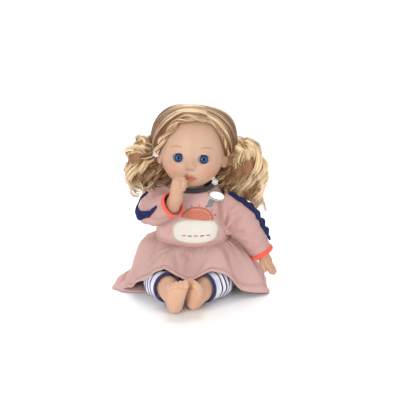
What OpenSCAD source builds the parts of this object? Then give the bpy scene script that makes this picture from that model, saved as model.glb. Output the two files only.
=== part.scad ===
// Seated soft-bodied doll with a vinyl head and limbs, a dress, leggings and a voice unit.
// Millimetres. +Z is up, the doll faces -Y, +X is the doll's own left.
// The origin is at the middle of the flat seat face. In each pair, index 0 is right and 1 is left.

/* [Head] */
// Full width of the head without ears
head_w = 96; // [88:1:100]
// Height of the head from chin to crown
head_h = 112; // [104:1:116]
// Full depth of the head without the nose
head_d = 107; // [100:1:110]
// Thickness of the head's vinyl wall
head_wall = 3; // [2:0.5:4]
// Height of the chin above the seat face, measured along the head
chin_h = 151.1; // [151:0.1:158]
// Backward tilt of the face
head_pitch = 13; // [8:1:14]
// Sideways tilt of the head
head_roll = 3.3; // [0:0.1:4]
// Turn of the face towards the doll's left
head_yaw = 3; // [0:0.5:5]
// How far the nose stands out
nose_out = 7.5; // [5:0.5:9]
// Outer radius of the neck
neck_r = 18; // [16:0.5:19]

/* [Hair] */
// Thickness of the hair over the scalp
hair_t = 6; // [4:0.5:7]
// Radius of the twisted strand along the hairline
strand_r = 4; // [3:0.5:5]
// Radius of a pigtail at its widest
tail_r = 29; // [24:1:31]
// Radius of a hair bobble
bobble_r = 5.2; // [4:0.2:6]

/* [Eyes] */
// Radius of an eyeball
eye_r = 10.5; // [9.5:0.25:11]
// Distance between the eyes' centres
eye_gap = 35.4; // [33:0.2:38]
// Height of the eyes from the head's centre
eye_z = -12.5; // [-14:0.5:-10]
// Width of the eye opening
lid_w = 17; // [15:0.5:18]
// Height of the eye opening
lid_h = 14; // [12:0.5:15]
// Radius of the eye axle
axle_r = 1.5; // [1.2:0.1:2]
// Radius of the counterweight
weight_r = 4; // [3:0.25:4.5]

/* [Body and dress] */
// Height of the waist seam
waist_z = 68; // [66:1:72]
// Half width of the cloth body at the chest
chest_hw = 47; // [45:0.5:48]
// Thickness of the cloth
cloth_t = 2.2; // [1.5:0.1:2.6]
// Gap between one layer and the next
layer_gap = 0.5; // [0.3:0.1:0.8]
// How far the bodice flares at the waist
waist_flare = 5; // [3:0.5:6]
// Height of the neckband
band_h = 6.5; // [5:0.5:7]
// Depth of the skirt's folds
fold_d = 2.5; // [0:0.5:4]
// Thickness of the chest applique
patch_t = 1.4; // [1:0.1:2]
// Half width of the chest applique
patch_hw = 33; // [28:1:34]
// Half height of the chest applique
patch_hh = 17; // [14:1:18]

/* [Arms] */
// Radius of the upper arm
arm_r = 10.5; // [9:0.5:11]
// Radius of the wrist
wrist_r = 9.5; // [8:0.5:10]
// Radius of the sleeve at the elbow
sleeve_r = 20; // [18:0.5:21]
// Width of the red cuff
cuff_w = 7; // [5:0.5:8]
// Thickness of the sleeve's wavy trim
trim_r = 2.2; // [1.5:0.1:2.5]

/* [Legs] */
// Radius of the thigh
leg_r = 19.5; // [18:0.5:20]
// Radius of the ankle
ankle_r = 12.5; // [11:0.5:13]
// Width of the leggings' hem band
hem_w = 5; // [4:0.5:6]
// Radius of the big toe
toe_r = 5.2; // [4.5:0.1:5.5]

/* [Swivel joints] */
// Radius of a limb joint's stem
stem_r = 7; // [6:0.25:8]
// Radius of a limb joint's disc
disc_r = 12; // [11:0.25:13]
// Thickness of each disc
disc_t = 3; // [2.5:0.25:3.5]
// Thickness of the washer in the cloth body
washer_t = 5; // [4:0.25:6]
// Radius of the washer
washer_r = 13; // [12.5:0.25:14]
// Running clearance of stems and axles
run_fit = 0.05; // [0.03:0.01:0.1]
// Gap between turning faces
face_gap = 0.3; // [0.2:0.05:0.5]

/* [Voice unit] */
// Width of the case
case_w = 64; // [63:0.5:66]
// Height of the case
case_h = 54; // [53:0.5:56]
// Depth of the case
case_d = 26; // [26:0.5:28]
// Height of the case's underside
case_z = 44; // [42:1:45]
// Wall thickness of the case
case_wall = 2; // [1.5:0.25:2.25]
// Radius of the press button
button_r = 7; // [6:0.25:8]
// Travel of the press button
button_go = 2; // [1:0.25:2.25]
// Travel of the power switch
switch_go = 5; // [3:0.5:6]
// Radius of a cell
cell_r = 5.25; // [5:0.05:5.25]
// Length of a cell
cell_l = 44.5; // [42:0.5:44.5]
// Radius of the speaker
speaker_r = 13; // [11:0.5:13]

/* [Hidden] */

$fn = 40;
vinyl = [0.86, 0.68, 0.56];
pink = [0.80, 0.60, 0.57];
blonde = [0.80, 0.66, 0.42];
navy = [0.13, 0.16, 0.32];
red = [0.90, 0.26, 0.16];
grey = [0.33, 0.35, 0.36];
white = [0.95, 0.95, 0.93];
nylon = [0.90, 0.90, 0.86];

sgn = [-1, 1];
neck_y = 2;
crown_z = head_h * 0.51;
chin_z = crown_z - head_h;
head_z = chin_h - chin_z;
head_c = [0, 0, head_z];
wide_z = head_h * 0.07;
head_hw = head_w / 2;
front_d = head_d * 0.475;
back_d = head_d - front_d;

// Joint places and outward axes
shoulder_p = [for (s = sgn) [s * (chest_hw - 13.5), -19, 117]];
shoulder_a = [for (s = sgn) unit([s * 0.69, -0.72, -0.1])];
hip_p = [for (s = sgn) [s * (chest_hw - 13), -25, 24]];
neck_top = 142.5;

// Limb places: shoulder to elbow to wrist to palm, and hip to knee to ankle
elbow_p = [shoulder_p[0] + 32.6 * shoulder_a[0], [82, -20, 88]];
cuff_p = [[-24, -64, 139], [104.5, -21, 57.5]];
palm_p = [[-14.5, -73, 171], [112.5, -22, 40]];
knee_p = [[-47, -68, 24], [47, -63, 24]];
ring_p = [[-26, -102, 27.5], [25, -92, 25.5]];
ankle_p = [[-13.5, -126, 19], [17, -112, 18]];
heel_p = [[-12.8, -131, 12], [12.5, -115.5, 12]];
ball_p = [[-8.5, -139, 39], [15, -126, 36]];
foot_across = [unit([1, 0.1, 0.05]), unit([-0.72, 0.69, 0.05])];
hip_a = [for (s = [0, 1]) unit(knee_p[s] - hip_p[s])];
cuff_a = [for (s = [0, 1]) unit(cuff_p[s] - elbow_p[s])];
ring_a = [for (s = [0, 1]) unit(ring_p[s] - knee_p[s])];
knee_j = [for (s = [0, 1]) knee_p[s] + 3 * ring_a[s]];

// Voice case: front face, back face, split plane, and the button's place
case_y = -28;
case_back_y = case_y + case_d;
split_y = case_y + case_d / 2;
case_top = case_z + case_h;
button_z = case_top - 14;
board_y = split_y - 3;
tray_top = case_z + case_wall + 27;
door_top = tray_top + 6.5;
switch_z = case_top - 9;
post_x = case_w / 2 - 5;
post_z = [tray_top + 5, case_top - 5];

function unit(v) = v / norm(v);
function mix(a, b, t) = a + (b - a) * t;
function mean(ps) = [for (k = [0:2]) sum([for (p = ps) p[k]]) / len(ps)];
function sum(v) = [for (x = v) 1] * v;
function bell(d) = exp(-d * d);

// Head sections: half width, front depth and back depth at height z from the centre
function head_up(z) = min(1, max(0, (z - wide_z) / (crown_z - wide_z)));
function head_dn(z) = min(1, max(0, (wide_z - z) / (wide_z - chin_z)));
function half_w(z) = head_hw * (z > wide_z ? (1 - head_up(z) ^ 2.2) ^ 0.455 : (1 - head_dn(z) ^ 2.4) ^ 0.5);
function front(z) = front_d * (z > wide_z ? (1 - head_up(z) ^ 2.3) ^ 0.435 : (1 - head_dn(z) ^ 4.2) ^ 0.385);
function back(z) = back_d * (z > wide_z ? (1 - head_up(z) ^ 2.2) ^ 0.455 : (1 - head_dn(z) ^ 1.5) ^ 0.9);

// Relief of the face at (x, z): nose, muzzle, chin, cheeks and eye hollows
function relief(x, z) =
    nose_out * bell(x / 6.5) * bell((z + 22.5) / 7)
    + 2 * bell(x / 6) * bell((z + 12) / 9)
    + 4.5 * bell(x / 15) * bell((z + 41) / 9)
    + 4 * bell(x / 13) * bell((z + 51) / 6)
    + 3 * (bell((x - 25) / 13) + bell((x + 25) / 13)) * bell((z + 30) / 12)
    - 2.2 * (bell((x - eye_gap / 2) / 10) + bell((x + eye_gap / 2) / 10)) * bell((z - eye_z) / 8);

// Point of the head's surface at height z and angle f, grown by off
function head_pt(z, f, off, detail) =
    let (x = (half_w(z) + off) * cos(f), s = sin(f))
    [x, s < 0 ? (front(z) + off) * s - detail * relief(x, z) * min(1, -2 * s) : (back(z) + off) * s, z];
function face_y(x, z) =
    -front(z) * sqrt(max(0, 1 - (x / half_w(z)) ^ 2)) - relief(x, z);

// Rings from chin to crown; the points crowd towards the face
function head_rings(off, n, m, detail) =
    [for (i = [1:m - 1]) let (z = mix(chin_z, crown_z, (1 - cos(180 * i / m)) / 2))
        [for (j = [0:n - 1]) let (u = 2 * j / n - 1)
            let (p = head_pt(z, 270 + 180 * sign(u) * abs(u) ^ (detail > 0 ? 1.25 : 1), off, detail))
            [p.x, p.y, p.z + off * (z - wide_z) / (crown_z - wide_z)]]];

// Head frame to world frame
function tilt_x(p) =
    [p.x, p.y * cos(head_pitch) + p.z * sin(head_pitch), p.z * cos(head_pitch) - p.y * sin(head_pitch)];
function tilt_y(p) =
    [p.x * cos(head_roll) + p.z * sin(head_roll), p.y, p.z * cos(head_roll) - p.x * sin(head_roll)];

// Cloth body and bodice sections at height z: half width, front depth, back depth
function body_hw(z) = chest_hw / 47
    * lookup(z, [[2, 43], [24, 49], [60, 50.5], [92, 50], [115, 47], [130, 44], [138, 35], [143, 24]]);
function body_df(z) =
    lookup(z, [[2, 33], [24, 39], [60, 44], [92, 43], [115, 38], [130, 33], [138, 28], [143, 22]]);
function body_db(z) =
    lookup(z, [[2, 31], [24, 37], [60, 40], [92, 38], [115, 34], [130, 31], [138, 27], [143, 22]]);
function lean(z) = 0.15 * min(1, max(0, (z - 112) / 34));
function flare(z) = waist_flare * max(0, (115 - z) / (115 - waist_z)) + 12 * lean(z);
neckline_z = 151;
shoulder_z = 130;
function above(z) = (z - shoulder_z) / (neckline_z - shoulder_z);
function to_neck(size, collar, z) = mix(size + flare(shoulder_z), collar, above(z));
function dress_hw(z) = z < shoulder_z ? body_hw(z) + flare(z) : to_neck(body_hw(shoulder_z), 29, z);
function dress_df(z) = z < shoulder_z ? body_df(z) + flare(z) : to_neck(body_df(shoulder_z), 26, z);
function dress_db(z) = z < shoulder_z ? body_db(z) + flare(z) : to_neck(body_db(shoulder_z), 25, z);
function oval(hw, df, db, z, tilt, n) =
    [for (j = [0:n - 1]) let (f = 360 * j / n, y = (sin(f) < 0 ? df : db) * sin(f))
        [hw * cos(f), y, z + tilt * y]];
function dress_ring(z, off, n) = oval(dress_hw(z) + off, dress_df(z) + off, dress_db(z) + off, z, lean(z), n);
function body_ring(z, off, n) = oval(body_hw(z) + off, body_df(z) + off, body_db(z) + off, z, 0, n);
dress_out = layer_gap + cloth_t;
function dress_y(x, z, back = false) =
    (back ? dress_db(z) + dress_out : -dress_df(z) - dress_out)
        * sqrt(max(0, 1 - (x / (dress_hw(z) + dress_out)) ^ 2));

// Point between p1 and p2 on a smooth curve through four points
function curve(p0, p1, p2, p3, t) =
    0.5 * (2 * p1 + (p2 - p0) * t + (2 * p0 - 5 * p1 + 4 * p2 - p3) * t ^ 2
        + (3 * p1 - p0 - 3 * p2 + p3) * t ^ 3);
function smooth_loop(p, k) =
    let (n = len(p))
    [for (i = [0:n - 1], t = [0:k - 1])
        curve(p[(i + n - 1) % n], p[i], p[(i + 1) % n], p[(i + 2) % n], t / k)];
function smooth_path(p, k) =
    let (n = len(p))
    concat(
        [for (i = [0:n - 2], t = [0:k - 1])
            curve(p[max(0, i - 1)], p[i], p[i + 1], p[min(n - 1, i + 2)], t / k)],
        [p[n - 1]]
    );

// Rings of radius r[i] square to a path, with the reference direction up
function tube_rings(p, r, up, n) =
    [for (i = [0:len(p) - 1])
        let (d = unit(p[min(len(p) - 1, i + 1)] - p[max(0, i - 1)]), u = unit(cross(up, d)), v = cross(d, u))
        [for (j = [0:n - 1]) p[i] + r[i] * (cos(360 * j / n) * u + sin(360 * j / n) * v)]];

// Closed solid over rings of points, capped at both ends
module skin(rings) {
    n = len(rings[0]);
    m = len(rings);
    polyhedron(
        concat([for (r = rings) each r], [mean(rings[0]), mean(rings[m - 1])]),
        concat(
            [for (i = [0:m - 2], j = [0:n - 1]) let (a = i * n + j, b = i * n + (j + 1) % n)
                each [[a, b + n, b], [a, a + n, b + n]]],
            [for (j = [0:n - 1]) let (k = (j + 1) % n, top = (m - 1) * n)
                each [[m * n, j, k], [m * n + 1, top + k, top + j]]]
        )
    );
}

// Shell over rings that go up outside and come back inside
module loop_skin(rings) {
    n = len(rings[0]);
    m = len(rings);
    polyhedron(
        [for (r = rings) each r],
        [for (i = [0:m - 1], j = [0:n - 1]) let (k = (i + 1) % m, l = (j + 1) % n)
            each [[i * n + j, k * n + l, i * n + l], [i * n + j, k * n + j, k * n + l]]]
    );
}

// Keeps a soft form as one faceted solid
module soft() {
    resize([0, 0, 0]) children();
}

module along(p, d) {
    translate(p) rotate([0, acos(d.z), atan2(d.y, d.x)]) children();
}

module in_head() {
    translate(head_c) rotate([-head_pitch, head_roll, head_yaw]) children();
}

module bone(p, q, r1, r2, n = 14) {
    hull() {
        translate(p) sphere(r1, $fn = n);
        translate(q) sphere(r2, $fn = n);
    }
}

// Disc, stem and lock of a swivel joint; z = 0 is the washer's outer face
module swivel(stem, disc) {
    lock_z = -washer_t - face_gap;
    rotate_extrude()
        polygon([[0, lock_z - disc_t], [stem + 4.5, lock_z - disc_t], [stem + 4.5, lock_z], [stem, lock_z],
            [stem, face_gap], [disc, face_gap], [disc, face_gap + disc_t], [0, face_gap + disc_t]]);
}

module washer(stem, outer) {
    rotate_extrude()
        polygon([[stem + run_fit, -washer_t], [outer, -washer_t], [outer, 0], [stem + run_fit, 0]]);
}

// Room for a swivel joint in the soft body, and a flat seat around it
module swivel_room(stem, outer, seat_r) {
    deep = washer_t + disc_t + 2 * face_gap + 0.5;
    translate([0, 0, -deep]) cylinder(r = outer + 0.1, h = deep + 0.1);
    cylinder(r = seat_r, h = 60);
}

module joint_rooms() {
    for (s = [0, 1]) {
        along(shoulder_p[s], shoulder_a[s]) swivel_room(stem_r, washer_r, washer_r + 0.1);
        arm_room(s, face_gap);
        along(hip_p[s], hip_a[s]) cylinder(r = leg_r + 4.5, h = 60);
    }
    translate([0, neck_y, neck_top]) swivel_room(stem_r + 1, washer_r + 2, 30);
}

// Body
module cloth_body() {
    color(white) soft() difference() {
        skin([for (z = [2 + layer_gap, 10, 24, 60, 92, 115, 130, 138, 143]) body_ring(z, 0, 28)]);
        joint_rooms($fn = 28);
        translate([-case_w / 2 - 0.4, case_y - 0.4, case_z - 0.4])
            cube([case_w + 0.8, case_d + 4.2, case_h + 0.8]);
        translate([0, case_y, button_z]) rotate([90, 0, 0]) cylinder(r = button_r + 1.5, h = 40);
    }
}

module neck_washer() {
    color(nylon) translate([0, neck_y, neck_top]) washer(stem_r + 1, washer_r + 2);
}

module shoulder_washer(s) {
    color(nylon) along(shoulder_p[s], shoulder_a[s]) washer(stem_r, washer_r);
}

// Stuffed thigh: it meets the body at the hip and holds the knee joint
module thigh(s) {
    color(white) soft() difference() {
        bone(hip_p[s], knee_p[s], leg_r, leg_r, 18);
        past_joint(hip_p[s], hip_a[s], 0.1, $fn = 20);
        along(knee_j[s], ring_a[s]) swivel_room(stem_r, washer_r, 40, $fn = 28);
    }
}

module knee_washer(s) {
    color(nylon) along(knee_j[s], ring_a[s]) washer(stem_r, washer_r);
}

// Voice unit
module case_box(y0, y1) {
    translate([-case_w / 2, y0, case_z]) cube([case_w, y1 - y0, case_h]);
}

module case_hollow(y0, y1) {
    translate([-case_w / 2 + case_wall, y0, case_z + case_wall])
        cube([case_w - 2 * case_wall, y1 - y0, case_h - 2 * case_wall]);
}

// Rod along +Y from height y0 to y1
module y_rod(x, z, r, y0, y1) {
    translate([x, y1, z]) rotate([90, 0, 0]) cylinder(r = r, h = y1 - y0);
}

screw_r = 1.25;
speaker_z = case_z + case_wall + speaker_r + 0.5;

module case_front() {
    color(white) difference() {
        union() {
            difference() {
                case_box(case_y, split_y);
                case_hollow(case_y + case_wall, split_y + 1);
            }
            for (x = [-post_x, post_x], z = post_z) y_rod(x, z, 3.2, case_y + case_wall / 2, split_y);
            for (x = [-17, 17]) y_rod(x, button_z, 2.5, case_y + case_wall / 2, board_y);
        }
        for (x = [-post_x, post_x], z = post_z) y_rod(x, z, screw_r, case_y + 4, split_y + 1);
        y_rod(0, button_z, button_r + run_fit, case_y - 1, case_y + case_wall + 0.01);
        for (a = [0:60:300])
            y_rod(6 * cos(a), speaker_z + 6 * sin(a), 1.2, case_y - 1, case_y + case_wall + 0.01);
        y_rod(0, speaker_z, 1.2, case_y - 1, case_y + case_wall + 0.01);
    }
}

module case_back() {
    inner_back = case_back_y - case_wall;
    color(white) difference() {
        union() {
            difference() {
                case_box(split_y, case_back_y);
                case_hollow(split_y - 1, inner_back);
            }
            for (x = [-post_x, post_x], z = post_z) y_rod(x, z, 3.2, split_y, case_back_y - case_wall / 2);
            translate([-case_w / 2 + 1, split_y, tray_top]) cube([case_w - 2, case_d / 2 - 1, 1.5]);
            y_rod(0, tray_top + 3.5, 2.5, split_y, inner_back - 0.1);
        }
        for (x = [-post_x, post_x], z = post_z) {
            y_rod(x, z, screw_r + 0.1, split_y - 1, case_back_y + 1);
            y_rod(x, z, 2.4, case_back_y - 1.6, case_back_y + 1);
        }
        translate([-case_w / 2 + 9, inner_back - 0.01, case_z + case_wall])
            cube([case_w - 18, case_wall + 1, door_top - case_z - case_wall]);
        y_rod(0, tray_top + 3.5, screw_r - 0.15, split_y + 2, inner_back + 1);
        translate([-3.3, inner_back - 0.01, switch_z - 2.5]) cube([6.6 + switch_go, case_wall + 1, 5]);
    }
}

module screw(x, z, r, y0, y1) {
    y_rod(x, z, r, y0, y1 - 1.4);
    y_rod(x, z, r + 0.9, y1 - 1.4, y1);
}

module case_screws() {
    color([0.7, 0.7, 0.72]) {
        for (x = [-post_x, post_x], z = post_z) screw(x, z, screw_r, case_y + 5, case_back_y - 0.2);
        screw(0, tray_top + 3.5, screw_r - 0.15, split_y + 3, case_back_y + 1.4);
    }
}

module speaker() {
    color(grey) translate([0, case_y + case_wall, speaker_z]) rotate([-90, 0, 0])
        rotate_extrude()
            polygon([[0, 0], [speaker_r, 0], [speaker_r, 2],
                [speaker_r - 5, 4.5], [speaker_r - 5, 8], [0, 8]]);
}

module circuit_board() {
    color([0.1, 0.4, 0.2]) {
        translate([-20, board_y, button_z - 10]) cube([40, 1.5, 20]);
        translate([-3, board_y - 1.9, button_z - 3]) cube([6, 1.9, 6]);
        translate([8, board_y + 1.5, button_z - 4]) cube([8, 1.2, 8]);
    }
}

button_tip = -body_df(button_z) + 0.8;
button_in = case_y + case_wall + face_gap;

module press_button() {
    color(red) translate([0, button_tip, button_z]) rotate([-90, 0, 0]) rotate_extrude()
        polygon([[0, 0], [button_r - 1, 0], [button_r, 1], [button_r, button_in - button_tip],
            [button_r + 1.5, button_in - button_tip], [button_r + 1.5, button_in - button_tip + 1.5],
            [2, button_in - button_tip + 1.5], [2, board_y - 1.9 - button_go - 0.25 - button_tip],
            [0, board_y - 1.9 - button_go - 0.25 - button_tip]]);
}

module button_spring() {
    color([0.7, 0.7, 0.72]) translate([0, button_in + 1.5, button_z]) rotate([-90, 0, 0]) difference() {
        cylinder(r = 5.4, h = board_y - button_in - 1.5);
        translate([0, 0, -1]) cylinder(r = 4.7, h = 40);
    }
}

module power_switch() {
    inner_back = case_back_y - case_wall;
    color(grey) union() {
        translate([-5.5, inner_back - 1.7, switch_z - 4]) cube([11, 1.5, 8]);
        translate([-3, inner_back - 0.5, switch_z - 2.2]) cube([6, case_wall + 3, 4.4]);
    }
}

cell_y = case_back_y - case_wall - cell_r - 0.2;
cell_z = [for (k = [0, 1]) case_z + case_wall + 1 + cell_r + k * (2 * cell_r + 1.2)];

module battery_cells() {
    color([0.2, 0.5, 0.3]) for (z = cell_z)
        translate([-cell_l / 2, cell_y, z]) rotate([0, 90, 0]) cylinder(r = cell_r, h = cell_l);
}

module battery_contacts() {
    color([0.7, 0.7, 0.72]) for (s = sgn)
        translate([s * (cell_l / 2 + 0.3) - 0.3, cell_y - 4, case_z + case_wall + 0.2])
            cube([0.6, 8, tray_top - case_z - case_wall - 0.4]);
}

module battery_door() {
    color(white) difference() {
        translate([-case_w / 2 + 9.2, case_back_y - case_wall, case_z + case_wall + 0.2])
            cube([case_w - 18.4, case_wall, door_top - case_z - case_wall - 0.4]);
        y_rod(0, tray_top + 3.5, screw_r, case_back_y - case_wall - 1, case_back_y + 1);
    }
}

// Dress
bodice_z = [waist_z, 92, 104, 115, 123, 130, 140, neckline_z];

module dress_bodice() {
    color(pink) soft() difference() {
        loop_skin(concat(
            [for (z = bodice_z) dress_ring(z, dress_out, 32)],
            [for (i = [len(bodice_z) - 1:-1:0]) dress_ring(bodice_z[i], layer_gap, 32)]
        ));
        for (s = [0, 1]) arm_room(s, face_gap + 0.2);
    }
}

module neckband() {
    z0 = neckline_z + 0.2;
    function ring(z, off) = oval(29 + off, 26 + off, 25 + off, z, lean(neckline_z), 32);
    color(grey) loop_skin([ring(z0, cloth_t), ring(z0 + band_h, 0.6), ring(z0 + band_h, -2), ring(z0, -0.6)]);
}

// Hem of the skirt: it lies on the floor at the sides and back, and lifts over both legs
hem = [[112, -6, 1], [100, 40, 1], [55, 72, 1], [0, 80, 1], [-55, 72, 1], [-100, 40, 1], [-114, -4, 1],
    [-119, -42, 1], [-93, -58, 5], [-68, -81, 30], [-48, -93, 46], [-29, -99, 57], [-10, -108, 48],
    [5, -110, 41], [22, -100, 49], [38, -91, 53], [60, -82, 40], [82, -70, 14], [116, -46, 1]];
hem_loop = smooth_loop(hem, 3);
skirt_n = len(hem_loop);

// Each fold falls from the waist on a cubic curve, steeper where the hem is spread on the floor
spread_at = -174;
function skirt_pt(j, t) =
    let (h = hem_loop[j % skirt_n], f = atan2(h.y + 8, h.x))
    let (steep = exp(-((f > 90 ? f - 360 : f) - spread_at) ^ 2 / 420))
    let (w = [(dress_hw(waist_z) + dress_out) * cos(f),
            ((sin(f) < 0 ? dress_df(waist_z) : dress_db(waist_z)) + dress_out) * sin(f), waist_z - 0.1])
    let (k = 0.38 - 0.03 * cos(f) + 0.11 * steep, m = 0.71 - 0.02 * cos(f) - 0.18 * steep)
    let (a = [mix(w.x, h.x, k), mix(w.y, h.y, k), waist_z - 3])
    let (b = [mix(w.x, h.x, m), mix(w.y, h.y, m), mix(mix(waist_z - 5, h.z, 0.33), 5, steep)])
    let (fold = fold_d * t * sin(360 * 13 * j / skirt_n), q = unit([h.x, h.y, 0]))
    w * (1 - t) ^ 3 + 3 * a * t * (1 - t) ^ 2 + 3 * b * t ^ 2 * (1 - t) + h * t ^ 3 + fold * q;
function skirt_normal(j, t) =
    let (e = 0.04, a = skirt_pt(j + skirt_n - 1, t), b = skirt_pt(j + 1, t))
    unit(cross(b - a, skirt_pt(j, min(1, t + e)) - skirt_pt(j, max(0, t - e))));
skirt_t = [for (i = [0:6]) i / 6];

// Inner points stay above the floor and inside the waist seam
function skirt_in(j, t) =
    let (p = skirt_pt(j, t) + cloth_t * skirt_normal(j, t), h = hem_loop[j % skirt_n])
    t < 0.01
        ? let (w = skirt_pt(j, 0), s = 1 - cloth_t / norm([w.x, w.y])) [w.x * s, w.y * s, w.z]
        : [p.x, p.y, max(p.z, 1)];

module dress_skirt() {
    color(pink) loop_skin(concat(
        [for (i = [6:-1:0]) [for (j = [0:skirt_n - 1]) skirt_pt(j, skirt_t[i])]],
        [for (i = [0:6]) [for (j = [0:skirt_n - 1]) skirt_in(j, skirt_t[i])]]
    ));
}

// Thin plate on the dress front or back, inside an oval of power e, from low to high above the cloth
module plate_on_dress(cx, cz, hw, hh, e, low, high, turn = 0, is_back = false) {
    n = 16;
    function edge(j, k, up) =
        let (f = 360 * j / n)
        let (a = k * hw * sign(cos(f)) * abs(cos(f)) ^ (2 / e))
        let (b = k * hh * sign(sin(f)) * abs(sin(f)) ^ (2 / e))
        let (x = cx + a * cos(turn) - b * sin(turn), z = cz + a * sin(turn) + b * cos(turn))
        [x, dress_y(x, z, is_back) + (is_back ? up : -up), z + lean(z) * dress_y(x, z, is_back)];
    rows = concat([for (k = [0.1, 0.4, 0.7, 1]) [k, high]], [for (k = [1, 0.7, 0.4, 0.1]) [k, low]]);
    order = is_back ? rows : [for (i = [7:-1:0]) rows[i]];
    rings = [for (r = order) [for (j = [0:n - 1]) edge(j, r[0], r[1])]];
    skin(rings);
}

patch_z = 92;

module chest_patch() {
    color(white) plate_on_dress(0, patch_z, patch_hw, patch_hh, 3, layer_gap, layer_gap + patch_t);
}

module patch_motif() {
    color([0.75, 0.42, 0.30])
        plate_on_dress(7, patch_z + patch_hh + 13, 19, 11, 2.2, layer_gap, layer_gap + patch_t, -12);
}

module fabric_tab() {
    color(grey) plate_on_dress(23.5, 133, 3.6, 5.6, 4, layer_gap, layer_gap + patch_t, -14);
}

module badge() {
    color(white) plate_on_dress(34, 143, 10, 6, 2, 3.4 * layer_gap, 3.4 * layer_gap + patch_t, -24);
}

module back_fastener() {
    color(white) plate_on_dress(0, 108, 9, 32, 6, layer_gap, layer_gap + patch_t, 0, true);
}

// Seat of the leggings, with the flat face that the doll sits on
module leggings_seat() {
    seat_out = layer_gap + cloth_t;
    color([0.90, 0.89, 0.93]) soft() difference() {
        skin([for (z = [0, 3, 12, 24, waist_z - 8]) body_ring(z, seat_out, 28)]);
        skin([for (z = [2, 10, 24, 60, 76]) body_ring(z, layer_gap, 28)]);
        for (s = [0, 1]) along(hip_p[s], hip_a[s]) translate([0, 0, -0.2])
            cylinder(r = leg_r + 4.5, h = 60, $fn = 28);
    }
}

// Head
module head_shell() {
    color(vinyl) soft() difference() {
        union() {
            in_head() skin(head_rings(0, 34, 18, 1));
            translate([0, neck_y, neck_top + face_gap + disc_t]) cylinder(r = neck_r, h = 24, $fn = 28);
            in_head() for (s = sgn) translate([s * (half_w(-12) - 1), 3, -14]) rotate([0, s * 12, s * 24])
                scale([3.2, 7.5, 11]) sphere(1, $fn = 14);
        }
        in_head() skin(head_rings(-head_wall, 18, 10, 0.7));
        translate([0, neck_y, neck_top]) cylinder(r = neck_r - head_wall, h = 34, $fn = 24);
        in_head() for (s = sgn) {
            translate([s * eye_gap / 2, eye_y, eye_z]) sphere(eye_r + 1.1, $fn = 24);
            translate([s * eye_gap / 2, eye_y, eye_z]) rotate([90, 0, 0]) scale([lid_w / 2, lid_h / 2, 1])
                cylinder(r = 1, h = 40, $fn = 20);
        }
    }
}

module neck_joint() {
    color(nylon) translate([0, neck_y, neck_top]) swivel(stem_r + 1, neck_r - 0.5);
}

// Opening of the hair around the face
face_hw = head_hw - 1.5;
face_top = 39.5;
face_mid = -10;
function hairline(a) =
    [face_hw * sign(cos(a)) * abs(cos(a)) ^ 0.8,
        face_mid + (face_top - face_mid) * sign(sin(a)) * abs(sin(a)) ^ 0.8];

// Path of a twisted strand along the hairline, half sunk in the hair
function strand_path(s) =
    [for (a = [84:-7:14]) let (h = hairline(a), x = sgn[s] * (h.x + 1), z = h.y + 2, w = half_w(z))
        let (c = min(0.999, abs(x) / w), q = unit([x / w, -sqrt(1 - c ^ 2), 0.5 * z / crown_z]))
        [x, -front(z) * sqrt(1 - c ^ 2), z] + (hair_t - 0.5) * q];

module strand(s) {
    p = strand_path(s);
    n = len(p);
    twist = [for (i = [0:n - 1]) 0.85 + 0.15 * cos(180 * i)];
    r = [for (i = [0:n - 1]) strand_r * twist[i] * min(1, 0.5 + 0.2 * min(i, n - 1 - i))];
    color(blonde) in_head() skin(tube_rings(p, r, [0, 1, 0], 8));
}

module hair_strands() {
    for (s = [0, 1]) strand(s);
}

module strand_room(s) {
    in_head() skin(tube_rings(strand_path(s), [for (a = strand_path(s)) strand_r + 0.3], [0, 1, 0], 10));
}

module hair_cap() {
    color(blonde) soft() difference() {
        in_head() skin(head_rings(hair_t, 28, 14, 0));
        in_head() skin(head_rings(0.7, 28, 16, 0));
        in_head() rotate([90, 0, 0]) linear_extrude(120)
            polygon([for (a = [0:10:350]) let (h = hairline(a)) a > 180 ? [h.x, h.y * 1.4] : h]);
        in_head() translate([-80, -80, -120]) cube([160, 84, 120 + face_mid]);
        in_head() for (s = sgn) translate([s * half_w(-12), 2, -14]) scale([9, 10, 13]) sphere(1, $fn = 14);
        translate([-80, -80, 100]) cube([160, 160, 69]);
        for (s = [0, 1]) strand_room(s);
    }
}

// Middle line and radii of a pigtail, from its top to its tip
tail_path = [
    [[-69, 13, 214], [-82, 14, 200], [-87, 17, 178], [-86, 20, 152], [-87, 24, 126],
        [-92, 28, 106], [-97, 31, 95]],
    [[66, 13, 207], [74, 15, 193], [77, 18, 172], [75, 22, 146], [80, 28, 122], [90, 33, 102], [95, 36, 88]]
];
tail_root = [[-45, 13, 192], [43, 6, 165]];
tail_part = [0.3, 0.78, 0.98, 1, 0.86, 0.62, 0.25];

module pigtail(s) {
    p = smooth_path(tail_path[s], 2);
    r = smooth_path([for (k = tail_part) [k, 0, 0]], 2);
    base = tube_rings(p, [for (k = r) k.x * tail_r], [0, 1, 0], 20);
    curly = [for (i = [0:len(p) - 1]) [for (j = [0:19])
        p[i] + (base[i][j] - p[i]) * (0.93 + 0.07 * sin(360 * j * 5 / 20 + 65 * i))]];
    color(blonde) soft() difference() {
        union() {
            skin(curly);
            bone(tail_root[s], tail_path[s][2], 9, 12, 14);
        }
        in_head() skin(head_rings(hair_t + 0.4, 28, 14, 0));
        in_head() for (k = sgn) translate([k * half_w(-12), 2, -14]) scale([9, 10, 13]) sphere(1, $fn = 14);
        translate(bobble_p[s]) sphere(bobble_r + 0.4, $fn = 20);
    }
}

bobble_p = [[-58.5, -3, 200], [37, -2, 160]];

module bobbles() {
    color(white) for (p = bobble_p) translate(p) sphere(bobble_r);
}

// Eyes
eye_y = face_y(eye_gap / 2, eye_z) + eye_r + 1;

module at_eye(s) {
    in_head() translate([sgn[s] * eye_gap / 2, eye_y, eye_z]) rotate([0, 90, 0]) children();
}

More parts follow.
